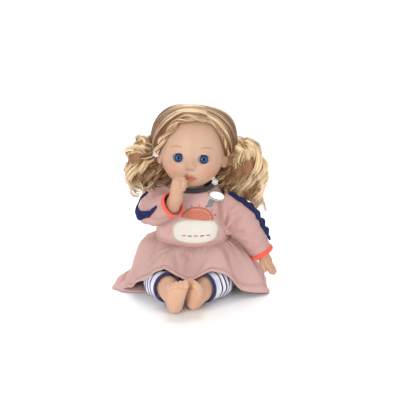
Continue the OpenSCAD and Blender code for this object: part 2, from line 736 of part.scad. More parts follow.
module eyeball(s) {
    color(white) at_eye(s) difference() {
        sphere(eye_r);
        translate([0, 0, -20]) cylinder(r = axle_r, h = 40);
    }
}

// Each lid is a lune of a thin ball shell about the eye axle
module eyelids() {
    ro = eye_r + 0.6;
    color(vinyl) for (s = [0, 1]) at_eye(s) rotate([0, 0, 212 - 90]) rotate_extrude(angle = 96)
        intersection() {
            difference() {
                circle(ro);
                circle(eye_r);
            }
            translate([2, -ro]) square([ro, 2 * ro]);
        }
}

module eye_axle() {
    color([0.7, 0.7, 0.72]) in_head() translate([0, eye_y, eye_z]) rotate([0, 90, 0])
        cylinder(r = axle_r, h = eye_gap + 2 * eye_r + 0.6, center = true);
}

// Weight under the axle; it swings back and shuts the eyes when the doll lies down
weight_back = 17;

module eye_weight() {
    color(grey) in_head() translate([0, eye_y, eye_z]) rotate([weight_back, 0, 0]) difference() {
        union() {
            for (x = [-5.8, 4.3]) translate([x, -2.6, -17]) cube([1.5, 5.2, 19.6]);
            translate([-5.8, 0, -17]) rotate([0, 90, 0]) cylinder(r = weight_r, h = 11.6);
        }
        rotate([0, 90, 0]) cylinder(r = axle_r, h = 40, center = true);
    }
}

module eye_bracket() {
    wall_y = face_y(0, eye_z) + head_wall + 2;
    color(nylon) in_head() difference() {
        translate([-4, wall_y, eye_z - 4]) cube([8, eye_y + 4 - wall_y, 8]);
        translate([0, eye_y, eye_z]) rotate([0, 90, 0]) cylinder(r = axle_r + run_fit, h = 40, center = true);
    }
}

// Arms
limb_start = face_gap + disc_t;

module past_joint(p, a, z0) {
    along(p, a) translate([0, 0, z0 - 60]) cylinder(r = 60, h = 60);
}

palm_up = [unit(palm_p[0] - cuff_p[0]), unit(palm_p[1] - cuff_p[1])];
knuckle_dir = [unit([0.75, 0.35, 0.1]), unit([-0.2, -0.97, 0.1])];

module fingers(s) {
    up = palm_up[s];
    side = unit(cross(up, knuckle_dir[s]));
    curl = s == 0 ? 0.55 : 0.15;
    for (k = [0:3]) {
        root = palm_p[s] + up * 6 + side * (k - 1.5) * 4.6;
        tip = root + up * (s == 0 ? 5 : 12) + knuckle_dir[s] * 7 * curl;
        bone(root, tip, 3.6, 3, 8);
    }
    bone(palm_p[s] + knuckle_dir[s] * 6 - up * 4, palm_p[s] + knuckle_dir[s] * 8 + up * 6, 3.8, 3.2, 8);
}

module arm(s) {
    color(vinyl) soft() difference() {
        union() {
            bone(shoulder_p[s] + 4 * shoulder_a[s], elbow_p[s], arm_r, arm_r + 0.5);
            bone(elbow_p[s], cuff_p[s], arm_r + 0.5, wrist_r);
            bone(cuff_p[s], palm_p[s], wrist_r, wrist_r + 0.8);
            fingers(s);
        }
        past_joint(shoulder_p[s], shoulder_a[s], limb_start, $fn = 20);
    }
}

module arm_joint(s) {
    color(nylon) along(shoulder_p[s], shoulder_a[s]) swivel(stem_r, disc_r);
}

sleeve_root = [18, 16];

// Turn of each arm about its shoulder axis, and the room that its sleeve needs around it
arm_turn = [-42, 65];
sleeve_room = 1.5;

module arm_room(s, lift) {
    intersection() {
        hull() {
            translate(shoulder_p[s] + 3 * shoulder_a[s]) sphere(sleeve_root[s] + sleeve_room, $fn = 24);
            for (k = [0:4])
                translate(shoulder_p[s]) rotate(a = k / 4 * arm_turn[s], v = shoulder_a[s])
                    translate(elbow_p[s] - shoulder_p[s]) sphere(sleeve_r + sleeve_room, $fn = 24);
        }
        along(shoulder_p[s], shoulder_a[s]) translate([0, 0, face_gap - lift])
            cylinder(r = 120, h = 140, $fn = 24);
    }
}

module sleeve_form(s, off) {
    bone(shoulder_p[s] + 3 * shoulder_a[s], elbow_p[s], sleeve_root[s] - off, sleeve_r - off, 18);
    bone(elbow_p[s], cuff_p[s], sleeve_r - off, wrist_r + 6.5 - off, 18);
}

module sleeve(s) {
    color(pink) soft() difference() {
        sleeve_form(s, 0);
        sleeve_form(s, cloth_t);
        past_joint(shoulder_p[s], shoulder_a[s], face_gap, $fn = 20);
        along(cuff_p[s], cuff_a[s]) translate([0, 0, -cuff_w / 2]) cylinder(r = 40, h = 60, $fn = 40);
    }
}

module cuff(s) {
    ri = wrist_r + 4;
    ro = wrist_r + 7;
    h = cuff_w / 2;
    color(red) along(cuff_p[s], cuff_a[s]) rotate_extrude()
        polygon([[ri, -h], [ro - 1, -h], [ro, -h + 1], [ro, h - 1], [ro - 1, h], [ri, h]]);
}

// Trim along the outer line of the sleeve
trim_dir = [
    [unit([-0.45, 0.3, 0.84]), unit([-0.85, -0.1, -0.5])],
    [unit([0.4, 0, 0.92]), unit([0.72, 0, 0.69])]
];

module trim(s) {
    a = shoulder_p[s] + 12 * shoulder_a[s];
    gap = trim_r + 0.2;
    q = [mix(a, elbow_p[s], 0.25) + (mix(sleeve_root[s], sleeve_r, 0.45) + gap) * trim_dir[s][0],
        mix(a, elbow_p[s], 0.65) + (sleeve_r + gap) * trim_dir[s][0],
        elbow_p[s] + (sleeve_r + gap) * unit(trim_dir[s][0] + trim_dir[s][1]),
        mix(elbow_p[s], cuff_p[s], 0.35) + (mix(sleeve_r, wrist_r + 6.5, 0.3) + gap) * trim_dir[s][1]];
    p = smooth_path(q, 4);
    color(navy) soft() difference() {
        skin(tube_rings(p, [for (i = [0:len(p) - 1]) trim_r * (1 + 0.25 * sin(180 * i))], [0, 1, 0.2], 10));
        sleeve_form(s, -0.1);
    }
}

// Legs
module leg_form(s, off) {
    bone(hip_p[s] + 4 * hip_a[s], knee_p[s], leg_r + off, leg_r + off, 18);
    bone(knee_p[s], ring_p[s], leg_r + off, leg_r - 2.5 + off, 18);
}

module leg(s) {
    w = foot_across[s];
    up = unit(ball_p[s] - heel_p[s]);
    color(vinyl) soft() difference() {
        union() {
            bone(knee_j[s], ring_p[s], leg_r - 1.2, leg_r - 3);
            bone(ring_p[s], ankle_p[s], leg_r - 3, ankle_r);
            hull() {
                translate(ankle_p[s]) sphere(ankle_r, $fn = 14);
                translate(heel_p[s]) sphere(11.6, $fn = 14);
                for (k = sgn) translate(ball_p[s] + k * 5.5 * w) sphere(8.5, $fn = 14);
            }
            for (k = [0:4]) translate(ball_p[s] + up * (9.5 - 0.9 * k) + (9 - 4.6 * k) * w)
                sphere(toe_r - 0.45 * k, $fn = 10);
        }
        past_joint(knee_j[s], ring_a[s], limb_start, $fn = 20);
        translate([-200, -300, -50]) cube([400, 400, 50.3]);
    }
}

module leg_joint(s) {
    color(nylon) along(knee_j[s], ring_a[s]) swivel(stem_r, disc_r);
}

module legging(s) {
    color([0.90, 0.89, 0.93]) soft() difference() {
        leg_form(s, layer_gap + cloth_t);
        leg_form(s, layer_gap);
        past_joint(hip_p[s], hip_a[s], face_gap, $fn = 20);
        along(ring_p[s], ring_a[s]) translate([0, 0, -hem_w / 2]) cylinder(r = 40, h = 60, $fn = 28);
        translate([-200, -300, -50]) cube([400, 400, 50.3]);
    }
}

module hem_band(s) {
    ri = leg_r - 1.5;
    ro = leg_r + 1;
    h = hem_w / 2;
    color(navy) along(ring_p[s], ring_a[s]) rotate_extrude()
        polygon([[ri, -h], [ro - 0.6, -h], [ro, -h + 0.6], [ro, h - 0.6], [ro - 0.6, h], [ri, h]]);
}

cloth_body();
neck_washer();
shoulder_washer(0);  // right_shoulder_washer
shoulder_washer(1);  // left_shoulder_washer
thigh(0);  // right_thigh
knee_washer(0);  // right_knee_washer
thigh(1);  // left_thigh
knee_washer(1);  // left_knee_washer
case_front();
case_back();
case_screws();
speaker();
circuit_board();
button_spring();
battery_cells();
battery_contacts();
battery_door();
dress_bodice();
neckband();
dress_skirt();
chest_patch();
patch_motif();
fabric_tab();
badge();
back_fastener();
leggings_seat();
press_button();
power_switch();
head_shell();
neck_joint();
hair_cap();
pigtail(0);  // right_pigtail
pigtail(1);  // left_pigtail
hair_strands();
bobbles();
eye_bracket();
eyeball(0);  // right_eyeball
eyeball(1);  // left_eyeball
eyelids();
eye_axle();
eye_weight();
arm(0);  // right_arm
arm_joint(0);  // right_arm_joint
sleeve(0);  // right_sleeve
cuff(0);  // right_cuff
trim(0);  // right_trim
arm(1);  // left_arm
arm_joint(1);  // left_arm_joint
sleeve(1);  // left_sleeve
cuff(1);  // left_cuff
trim(1);  // left_trim
leg(0);  // right_leg
leg_joint(0);  // right_leg_joint
legging(0);  // right_legging
hem_band(0);  // right_hem_band
leg(1);  // left_leg
leg_joint(1);  // left_leg_joint
legging(1);  // left_legging
hem_band(1);  // left_hem_band
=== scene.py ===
import math

import bmesh
import bpy
import numpy as np
from mathutils import Matrix, Vector
from mathutils.bvhtree import BVHTree


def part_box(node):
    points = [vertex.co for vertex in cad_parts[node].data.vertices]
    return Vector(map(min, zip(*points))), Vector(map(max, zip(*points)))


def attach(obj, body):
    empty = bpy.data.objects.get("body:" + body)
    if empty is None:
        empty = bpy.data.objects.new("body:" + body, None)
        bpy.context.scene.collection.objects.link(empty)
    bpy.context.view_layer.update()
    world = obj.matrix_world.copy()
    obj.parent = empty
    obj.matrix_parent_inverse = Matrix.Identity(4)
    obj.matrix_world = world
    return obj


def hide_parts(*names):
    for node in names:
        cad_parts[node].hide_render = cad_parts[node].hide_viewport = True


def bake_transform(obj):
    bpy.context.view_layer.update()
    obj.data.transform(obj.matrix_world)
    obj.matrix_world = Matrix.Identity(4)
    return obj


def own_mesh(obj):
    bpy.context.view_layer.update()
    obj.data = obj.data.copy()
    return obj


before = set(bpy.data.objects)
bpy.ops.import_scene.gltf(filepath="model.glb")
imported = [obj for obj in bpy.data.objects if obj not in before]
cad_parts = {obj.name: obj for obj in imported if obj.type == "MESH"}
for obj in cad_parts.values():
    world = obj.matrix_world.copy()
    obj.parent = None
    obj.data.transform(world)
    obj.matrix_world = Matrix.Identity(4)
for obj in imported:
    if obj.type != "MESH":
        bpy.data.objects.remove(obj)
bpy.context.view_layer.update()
rng = np.random.default_rng(11)
mm = 0.001
sides = (("right", -1), ("left", 1))  # the doll's own right is at -X


# Camera, floor and light
studio = {
    "target": (18.3, 0.0, 120.8),  # mm, at the middle of the picture
    "azimuth": 5.0,
    "elevation": 17.0,
    "distance": 1500.0,
    "frameWidth": 615.0,  # mm seen across the picture at the target
    "floor": (250, 250, 250), "floorReach": 5.0, "backdropHeight": 4.0, "backdropBend": 1.5,  # m
    "skyStrength": 0.62,
    "lamps": {  # place and size in m, power in W, and where it points if that isn't the doll
        "keyLamp": ((-0.7, -1.6, 0.6), 0.7, 14),
        "fillLamp": ((1.1, -1.5, 0.5), 1.2, 9),
        "hairLamp": ((0.0, 0.3, 1.3), 0.45, 6),
        "backLamp": ((0.0, 3.4, 2.6), 3.0, 130, (0.0, 3.6, 0.0)),
    },
}


def paint(red, green, blue):
    # sRGB bytes to a linear colour
    return (
        tuple(((c / 255 + 0.055) / 1.055) ** 2.4 if c > 10 else c / 3294.6 for c in (red, green, blue))
        + (1.0,)
    )


def makeCamera():
    a, e = math.radians(studio["azimuth"]), math.radians(studio["elevation"])
    back = Vector((math.sin(a) * math.cos(e), -math.cos(a) * math.cos(e), math.sin(e)))
    lens = bpy.data.cameras.new("camera")
    lens.lens = lens.sensor_width * studio["distance"] / studio["frameWidth"]
    camera = bpy.data.objects.new("camera", lens)
    camera.location = (Vector(studio["target"]) + back * studio["distance"]) * mm
    camera.rotation_euler = (-back).to_track_quat("-Z", "Y").to_euler()
    bpy.context.collection.objects.link(camera)
    bpy.context.scene.camera = camera


def makeLamp(name, place, size, power, aim=(0, 0, 0.12)):
    lamp = bpy.data.lights.new(name, "AREA")
    lamp.size, lamp.energy = size, power
    holder = bpy.data.objects.new(name, lamp)
    holder.location = place
    holder.rotation_euler = (Vector(aim) - Vector(place)).to_track_quat("-Z", "Y").to_euler()
    bpy.context.collection.objects.link(holder)


def makeStudio():
    scene = bpy.context.scene
    scene.view_settings.view_transform = "Standard"
    world = bpy.data.worlds.new("studio")
    world.use_nodes = True
    sky = world.node_tree.nodes["Background"].inputs
    sky["Color"].default_value, sky["Strength"].default_value = (1, 1, 1, 1), studio["skyStrength"]
    scene.world = world
    for name, lamp in studio["lamps"].items():
        makeLamp(name, *lamp)
    reach, rise, bend = studio["floorReach"], studio["backdropHeight"], studio["backdropBend"]
    profile = [(-reach, 0.0), (reach - bend, 0.0)]
    quarter = np.linspace(0, math.pi / 2, 10)
    profile += [(reach - bend + bend * math.sin(t), bend - bend * math.cos(t)) for t in quarter]
    profile.append((reach, rise))
    points = [(x, y, z) for y, z in profile for x in (-reach, reach)]
    faces = [(2 * i, 2 * i + 1, 2 * i + 3, 2 * i + 2) for i in range(len(profile) - 1)]
    mesh = bpy.data.meshes.new("floor")
    mesh.from_pydata(points, [], faces)
    mesh.shade_smooth()
    floor = bpy.data.objects.new("floor", mesh)
    bpy.context.collection.objects.link(floor)
    material = bpy.data.materials.new("paleFloor")
    material.use_nodes = True
    shader = material.node_tree.nodes["Principled BSDF"]
    shader.inputs["Base Color"].default_value = paint(*studio["floor"])
    shader.inputs["Roughness"].default_value = 0.6
    mesh.materials.append(material)


makeCamera()
makeStudio()
print("camera, floor and light are set")


# Small sums that many pieces share
def bell(d):
    return np.exp(-np.square(d))


def unit(v):
    v = np.asarray(v, float)
    return v / np.maximum(np.linalg.norm(v, axis=-1, keepdims=True), 1e-9)


def ease(a, b, x):
    t = np.clip((np.asarray(x, float) - a) / (b - a), 0, 1)
    return t * t * (3 - 2 * t)


def circle(count):
    return np.linspace(0, 2 * math.pi, count, endpoint=False)


def runOf(path):
    # the distance along a line at each of its points
    return np.concatenate([[0], np.cumsum(np.linalg.norm(np.diff(path, axis=0), axis=1))])


def relax(line, rounds):
    # evens out a line in place, with its ends held
    for _ in range(rounds):
        line[1:-1] = (line[:-2] + 2 * line[1:-1] + line[2:]) / 4


def ringWays(way, angle):
    # directions round a line that runs along way
    across = unit(np.cross(way, (0, 0, 1)))
    return np.cos(angle)[:, None] * across + np.sin(angle)[:, None] * np.cross(way, across)


def ofSide(pair, side):
    return np.asarray(pair[int(side == "left")], float)


def curveThrough(points, count, closed=False):
    # Catmull-Rom points, evenly spread over the spans
    p = np.asarray(points, float)
    n = len(p)
    spans = n if closed else n - 1
    t = np.arange(count) * spans / count if closed else np.linspace(0, spans, count)
    i = np.minimum(t.astype(int), spans - 1)
    f = (t - i)[:, None]
    pick = (lambda k: p[k % n]) if closed else (lambda k: p[np.clip(k, 0, n - 1)])
    a, b, c, d = pick(i - 1), pick(i), pick(i + 1), pick(i + 2)
    return 0.5 * (2 * b + (c - a) * f + (2 * a - 5 * b + 4 * c - d) * f**2 + (3 * b - a - 3 * c + d) * f**3)


def evenly(points, count):
    # the same line with points at equal steps
    p = np.asarray(points, float)
    run = runOf(p)
    at = np.linspace(0, run[-1], count)
    return np.stack([np.interp(at, run, p[:, k]) for k in range(3)], axis=1)


def ripple(points, scale, seed, stretch=(1, 1, 1), waves=9):
    # smooth noise from a few sine waves, about -1 to 1, for points in mm
    dice = np.random.default_rng(seed)
    q = np.asarray(points, float) / scale * np.asarray(stretch)
    total = np.zeros(q.shape[:-1])
    for _ in range(waves):
        way = unit(dice.normal(size=3)) * dice.uniform(0.6, 1.5) * 2 * math.pi
        total += np.sin(q @ way + dice.uniform(0, 2 * math.pi))
    return total / math.sqrt(waves) / 1.4


# Meshes, all in mm until they become objects
def addPiece(name, points, faces, material, smooth=True):
    mesh = bpy.data.meshes.new(name)
    mesh.from_pydata((np.asarray(points, float) * mm).tolist(), [], [tuple(int(i) for i in f) for f in faces])
    mesh.update()
    if smooth:
        mesh.shade_smooth()
    piece = bpy.data.objects.new(name, mesh)
    bpy.context.collection.objects.link(piece)
    mesh.materials.append(material)
    return piece


def gridFaces(rows, columns, around=True, first=0):
    last = columns if around else columns - 1
    i, j = np.meshgrid(np.arange(rows - 1), np.arange(last), indexing="ij")
    k = (j + 1) % columns
    a, b = i * columns + j, i * columns + k
    return (np.stack([a, b, b + columns, a + columns], axis=-1).reshape(-1, 4) + first).tolist()


def endFaces(rows, columns):
    # fans over both ends of a grid, whose two end points come after its own
    n, top = rows * columns + 2, (rows - 1) * columns
    first = [(n - 2, (j + 1) % columns, j) for j in range(columns)]
    return first + [(n - 1, top + j, top + (j + 1) % columns) for j in range(columns)]


def setFloats(piece, name, values):
    layer = piece.data.attributes.new(name, "FLOAT", "POINT")
    layer.data.foreach_set("value", np.asarray(values, np.float32).ravel())


def addGrid(name, rings, material, around=True, ends=False):
    rings = np.asarray(rings, float)
    rows, columns = rings.shape[:2]
    faces = gridFaces(rows, columns, around)
    points = rings.reshape(-1, 3)
    if ends:
        points = np.concatenate([points, rings[0].mean(0)[None], rings[-1].mean(0)[None]])
        faces += endFaces(rows, columns)
    return addPiece(name, points, faces, material)


def applied(piece):
    # the piece with its modifiers worked into its mesh
    graph = bpy.context.evaluated_depsgraph_get()
    graph.update()
    mesh = bpy.data.meshes.new_from_object(
        piece.evaluated_get(graph), preserve_all_data_layers=True, depsgraph=graph
    )
    piece.modifiers.clear()
    piece.data = mesh
    return piece


def thicken(piece, thickness, offset=-1.0):
    skin = piece.modifiers.new("thickness", "SOLIDIFY")
    skin.thickness, skin.offset = thickness * mm, offset
    return piece


def subdivide(piece, levels=1):
    finer = piece.modifiers.new("finer", "SUBSURF")
    finer.levels = finer.render_levels = levels
    return piece


def vertsOf(piece):
    flat = np.empty(len(piece.data.vertices) * 3)
    piece.data.vertices.foreach_get("co", flat)
    return flat.reshape(-1, 3) / mm


def normalsOf(piece):
    flat = np.empty(len(piece.data.vertices) * 3, np.float32)
    piece.data.vertex_normals.foreach_get("vector", flat)
    return flat.reshape(-1, 3).astype(float)


def setVerts(piece, points):
    piece.data.vertices.foreach_set("co", (np.asarray(points, float) * mm).ravel())
    piece.data.update()


def tubeRings(path, radii, across, spin=12):
    # rings of points round a path, with the first point of each towards across
    path = np.asarray(path, float)
    along = unit(np.gradient(path, axis=0))
    side = unit(np.asarray(across, float) - (along * np.asarray(across, float)).sum(1, keepdims=True) * along)
    other = np.cross(along, side)
    angle = circle(spin)
    ring = np.cos(angle)[None, :, None] * side[:, None] + np.sin(angle)[None, :, None] * other[:, None]
    radii = np.asarray(radii, float).reshape(len(path), -1, 1)
    return path[:, None] + radii * ring


def capsuleMesh(start, end, startR, endR, spin=20, rows=5):
    # one rounded bone as points and faces
    start, end = np.asarray(start, float), np.asarray(end, float)
    way = unit(end - start)
    across = np.cross(way, (0, 0, 1) if abs(way[2]) < 0.9 else (1, 0, 0))
    turns = np.linspace(0.12, 0.5, rows) * math.pi
    path = (
        [start - way * startR * math.cos(t) for t in turns]
        + [end + way * endR * math.cos(t) for t in turns[::-1]]
    )
    radii = [startR * math.sin(t) for t in turns] + [endR * math.sin(t) for t in turns[::-1]]
    rings = tubeRings(path, radii, across, spin)
    points = np.concatenate([rings.reshape(-1, 3), [start - way * startR], [end + way * endR]])
    return points, gridFaces(len(path), spin) + endFaces(len(path), spin)


def joinedMesh(parts):
    points, faces, first = [], [], 0
    for p, f in parts:
        points.append(p)
        faces += [[i + first for i in one] for one in f]
        first += len(p)
    return np.concatenate(points), faces


def softForm(name, bones, material, voxel=1.2, smoothing=6):
    # rounded bones melted into one skin
    piece = addPiece(name, *joinedMesh([capsuleMesh(*b) for b in bones]), material)
    melt = piece.modifiers.new("melt", "REMESH")
    melt.mode, melt.voxel_size, melt.use_smooth_shade = "VOXEL", voxel * mm, True
    relax = piece.modifiers.new("relax", "SMOOTH")
    relax.factor, relax.iterations = 0.5, smoothing
    return applied(piece)


def cutBeyond(piece, place, way):
    # removes what lies past a plane
    body = bmesh.new()
    body.from_mesh(piece.data)
    bmesh.ops.bisect_plane(
        body, geom=body.verts[:] + body.edges[:] + body.faces[:], dist=1e-7,
        plane_co=Vector(np.asarray(place) * mm), plane_no=Vector(unit(way)), clear_outer=True,
    )
    body.to_mesh(piece.data)
    body.free()
    piece.data.update()
    return piece


def addTubes(name, paths, widths, outward, tones, material, flat=0.6, spin=5):
    # many strands in one mesh: paths is strands x points x 3, widths strands x points
    # each keeps its tone, how far along it a point lies and where round it
    paths, widths, outward = (np.asarray(v, float) for v in (paths, widths, outward))
    count, rows = paths.shape[:2]
    along = unit(np.gradient(paths, axis=1))
    up = unit(outward - (outward * along).sum(-1, keepdims=True) * along)
    side = np.cross(along, up)
    angle = circle(spin)
    w = widths[:, :, None, None]
    points = paths[:, :, None] + w * (
        np.cos(angle)[:, None] * side[:, :, None] + flat * np.sin(angle)[:, None] * up[:, :, None]
    )
    one = np.array(gridFaces(rows, spin))
    faces = (one[None] + (np.arange(count) * rows * spin)[:, None, None]).reshape(-1, 4)
    piece = addPiece(name, points.reshape(-1, 3), faces, material)
    setFloats(piece, "tone", np.repeat(np.asarray(tones, float), rows * spin))
    reach = np.linspace(0, 1, rows)
    setFloats(piece, "reach", np.tile(np.repeat(reach, spin), count))
    setFloats(piece, "around", np.tile(np.cos(angle), count * rows))
    return piece


# Shader helpers
def addNode(tree, kind, inputs=None, **settings):
    made = tree.nodes.new(kind)
    for key, value in settings.items():
        setattr(made, key, value)
    for key, value in (inputs or {}).items():
        if isinstance(value, bpy.types.NodeSocket):
            tree.links.new(value, made.inputs[key])
        else:
            made.inputs[key].default_value = value
    return made


def calc(tree, operation, a, b=0.0):
    return addNode(tree, "ShaderNodeMath", {0: a, 1: b}, operation=operation).outputs[0]


def between(tree, value, low, high, toLow=0.0, toHigh=1.0):
    made = addNode(
        tree, "ShaderNodeMapRange",
        {"Value": value, "From Min": low, "From Max": high, "To Min": toLow, "To Max": toHigh},
        interpolation_type="SMOOTHSTEP",
    )
    return made.outputs["Result"]


def mixed(tree, factor, a, b, blend="MIX"):
    made = addNode(tree, "ShaderNodeMix", {0: factor, 6: a, 7: b}, data_type="RGBA", blend_type=blend)
    return made.outputs[2]


def attribute(tree, name):
    return addNode(tree, "ShaderNodeAttribute", attribute_name=name).outputs["Fac"]


def newGroup(name, inputs, outputs):
    group = bpy.data.node_groups.new(name, "ShaderNodeTree")
    for label, kind, value in inputs:
        group.interface.new_socket(label, in_out="INPUT", socket_type=kind).default_value = value
    for label, kind in outputs:
        group.interface.new_socket(label, in_out="OUTPUT", socket_type=kind)
    return group, addNode(group, "NodeGroupInput"), addNode(group, "NodeGroupOutput")


def objectPlace(tree):
    return addNode(tree, "ShaderNodeTexCoord").outputs["Object"]


def noise(tree, place, scale, detail=2.0, roughness=0.5):
    made = addNode(
        tree, "ShaderNodeTexNoise",
        {"Vector": place, "Scale": scale, "Detail": detail, "Roughness": roughness},
    )
    return made.outputs["Fac"]


def makeMottleGroup():
    # slow cloudy change of a colour, as dye and moulding leave it
    group, given, made = newGroup(
        "mottle",
        [
            ("Colour", "NodeSocketColor", (1, 1, 1, 1)), ("Scale", "NodeSocketFloat", 40.0),
            ("Amount", "NodeSocketFloat", 0.1),
        ],
        [("Colour", "NodeSocketColor"), ("Cloud", "NodeSocketFloat")],
    )
    cloud = noise(group, objectPlace(group), given.outputs["Scale"], 3.0)
    shift = calc(group, "MULTIPLY", calc(group, "SUBTRACT", cloud, 0.5), given.outputs["Amount"])
    value = calc(group, "ADD", calc(group, "MULTIPLY", shift, 2.0), 1.0)
    tinted = addNode(group, "ShaderNodeHueSaturation", {"Color": given.outputs["Colour"], "Value": value})
    group.links.new(tinted.outputs["Color"], made.inputs["Colour"])
    group.links.new(cloud, made.inputs["Cloud"])
    return group


def makeThreadGroup():
    # fine looped cloth: two slanting sets of ridges with fuzz over them, the colour painted darker between
    # the ridges as painted shade
    group, given, made = newGroup(
        "threads",
        [
            ("Colour", "NodeSocketColor", (1, 1, 1, 1)), ("Threads", "NodeSocketFloat", 900.0),
            ("Fuzz", "NodeSocketFloat", 0.5),
        ],
        [("Colour", "NodeSocketColor"), ("Height", "NodeSocketFloat"), ("Roughness", "NodeSocketFloat")],
    )
    place = objectPlace(group)
    ridges = []
    for turn in (0.9, -0.9):
        turned = addNode(
            group, "ShaderNodeVectorRotate", {"Vector": place, "Axis": (0.2, 1, 0.3), "Angle": turn}
        )
        wave = addNode(
            group, "ShaderNodeTexWave",
            {
                "Vector": turned.outputs[0], "Scale": given.outputs["Threads"], "Distortion": 1.6,
                "Detail": 1.0,
            },
        )
        ridges.append(wave.outputs["Fac"])
    loops = calc(group, "MULTIPLY", ridges[0], ridges[1])
    fuzz = noise(group, place, 700.0, 4.0, 0.7)
    height = calc(group, "ADD", loops, calc(group, "MULTIPLY", fuzz, given.outputs["Fuzz"]))
    fleck = noise(group, place, 260.0, 4.0, 0.65)
    # painted shade: the colour is darker where the loops are low
    value = calc(
        group, "ADD", calc(group, "MULTIPLY", fleck, 0.16),
        calc(group, "ADD", calc(group, "MULTIPLY", loops, 0.12), 0.86),
    )
    tinted = addNode(group, "ShaderNodeHueSaturation", {"Color": given.outputs["Colour"], "Value": value})
    group.links.new(tinted.outputs["Color"], made.inputs["Colour"])
    group.links.new(height, made.inputs["Height"])
    group.links.new(between(group, fuzz, 0.2, 0.8, 0.78, 0.95), made.inputs["Roughness"])
    return group


def makeGrainGroup():
    # moulded surface: faint pores and a slightly uneven gloss
    group, given, made = newGroup(
        "grain",
        [
            ("Scale", "NodeSocketFloat", 900.0), ("Roughness", "NodeSocketFloat", 0.45),
            ("Spread", "NodeSocketFloat", 0.1),
        ],
        [("Height", "NodeSocketFloat"), ("Roughness", "NodeSocketFloat")],
    )
    place = objectPlace(group)
    pores = noise(group, place, given.outputs["Scale"], 3.0, 0.6)
    wide = noise(group, place, 55.0, 2.0)
    uneven = calc(group, "MULTIPLY", calc(group, "SUBTRACT", wide, 0.5), given.outputs["Spread"])
    group.links.new(pores, made.inputs["Height"])
    group.links.new(calc(group, "ADD", uneven, given.outputs["Roughness"]), made.inputs["Roughness"])
    return group


mottleGroup, threadGroup, grainGroup = makeMottleGroup(), makeThreadGroup(), makeGrainGroup()


def newMaterial(name, **sockets):
    material = bpy.data.materials.new(name)
    material.use_nodes = True
    shader = material.node_tree.nodes["Principled BSDF"]
    for key, value in sockets.items():
        shader.inputs[key].default_value = value
    return material, material.node_tree, shader


def placeGroup(tree, group, inputs):
    return addNode(tree, "ShaderNodeGroup", inputs, node_tree=group).outputs


def addBump(tree, shader, height, distance, strength=0.5):
    bump = addNode(tree, "ShaderNodeBump", {"Height": height, "Distance": distance, "Strength": strength})
    tree.links.new(bump.outputs["Normal"], shader.inputs["Normal"])


def clothMaterial(name, colour, threads=900.0, fuzz=0.5, cloud=0.06, sheen=0.25, pattern=None, bump=0.0005):
    material, tree, shader = newMaterial(
        name, **{"Sheen Weight": sheen, "Sheen Roughness": 0.5, "Specular IOR Level": 0.2}
    )
    base = pattern(tree) if pattern else paint(*colour)
    dyed = placeGroup(tree, mottleGroup, {"Colour": base, "Scale": 32.0, "Amount": cloud})
    made = placeGroup(tree, threadGroup, {"Colour": dyed["Colour"], "Threads": threads, "Fuzz": fuzz})
    tree.links.new(made["Colour"], shader.inputs["Base Color"])
    tree.links.new(made["Roughness"], shader.inputs["Roughness"])
    addBump(tree, shader, made["Height"], bump)
    return material


def mouldedMaterial(
    name, colour, roughness=0.42, metallic=0.0, cloud=0.05, scale=900.0, pattern=None, bump=0.00008, **sockets
):
    material, tree, shader = newMaterial(name, **{"Metallic": metallic, **sockets})
    base = pattern(tree) if pattern else paint(*colour)
    cast = placeGroup(tree, mottleGroup, {"Colour": base, "Scale": 40.0, "Amount": cloud})
    made = placeGroup(tree, grainGroup, {"Scale": scale, "Roughness": roughness, "Spread": 0.16})
    tree.links.new(cast["Colour"], shader.inputs["Base Color"])
    tree.links.new(made["Roughness"], shader.inputs["Roughness"])
    addBump(tree, shader, made["Height"], bump)
    return material


vinylLook = {
    "Subsurface Weight": 0.12, "Subsurface Radius": (0.006, 0.0025, 0.0015), "Specular IOR Level": 0.42
}


def vinylMaterial(name, skin, pattern=None):
    return mouldedMaterial(name, skin, roughness=0.47, cloud=0.035, pattern=pattern, **vinylLook)


def threadMaterial(name, colour):
    return clothMaterial(name, colour, threads=2500, fuzz=0.2)


# Head: the same sections as the moulded shell, with finer features
head = {
    "width": 96.0, "height": 112.0, "depth": 107.0,
    "centre": (0.0, 0.0, 205.98), "pitch": 13.0, "roll": 3.3, "yaw": 3.0,
    "eyeGap": 36.2, "eyeHeight": -12.5, "eyeRadius": 10.5, "eyeOpening": (8.0, 6.5),
    "nose": 8.4, "mouth": -40.5, "lipHalfWidth": 10.5, "ear": (7.2, 11.2), "earPlace": (2.4, 2.0, -12.0),
    "neckHeights": (146.2, 149, 152, 158, 166, 174), "neckRadii": (17.6, 18, 17.8, 17.4, 18, 20),
    "neckBack": 2,
    "mouthInside": (126, 48, 40), "eyeRimAndNoseShade": (96, 62, 48),
    "skin": (195, 159, 134), "lips": (203, 112, 95), "brow": (158, 114, 88), "blush": (198, 142, 118),
}
crown = 0.51 * head["height"]
chin = crown - head["height"]
widest = 0.07 * head["height"]
headTurn = np.array(
    Matrix.Rotation(math.radians(head["yaw"]), 3, "Z")
    @ Matrix.Rotation(math.radians(head["roll"]), 3, "Y")
    @ Matrix.Rotation(math.radians(-head["pitch"]), 3, "X")
)


def headToWorld(points):
    return np.asarray(points, float) @ headTurn.T + np.array(head["centre"])


def headWays(ways):
    return np.asarray(ways, float) @ headTurn.T


def headSections(z):
    # half width, front depth and back depth at height z
    up = np.clip((z - widest) / (crown - widest), 0, 1)
    down = np.clip((widest - z) / (widest - chin), 0, 1)
    front = 0.475 * head["depth"]
    top = z > widest
    half = head["width"] / 2 * np.where(top, (1 - up**2.2) ** 0.455, (1 - down**2.4) ** 0.5)
    face = front * np.where(top, (1 - up**2.3) ** 0.435, (1 - down**4.2) ** 0.385)
    back = (head["depth"] - front) * np.where(top, (1 - up**2.2) ** 0.455, (1 - down**1.5) ** 0.9)
    return half, face, back


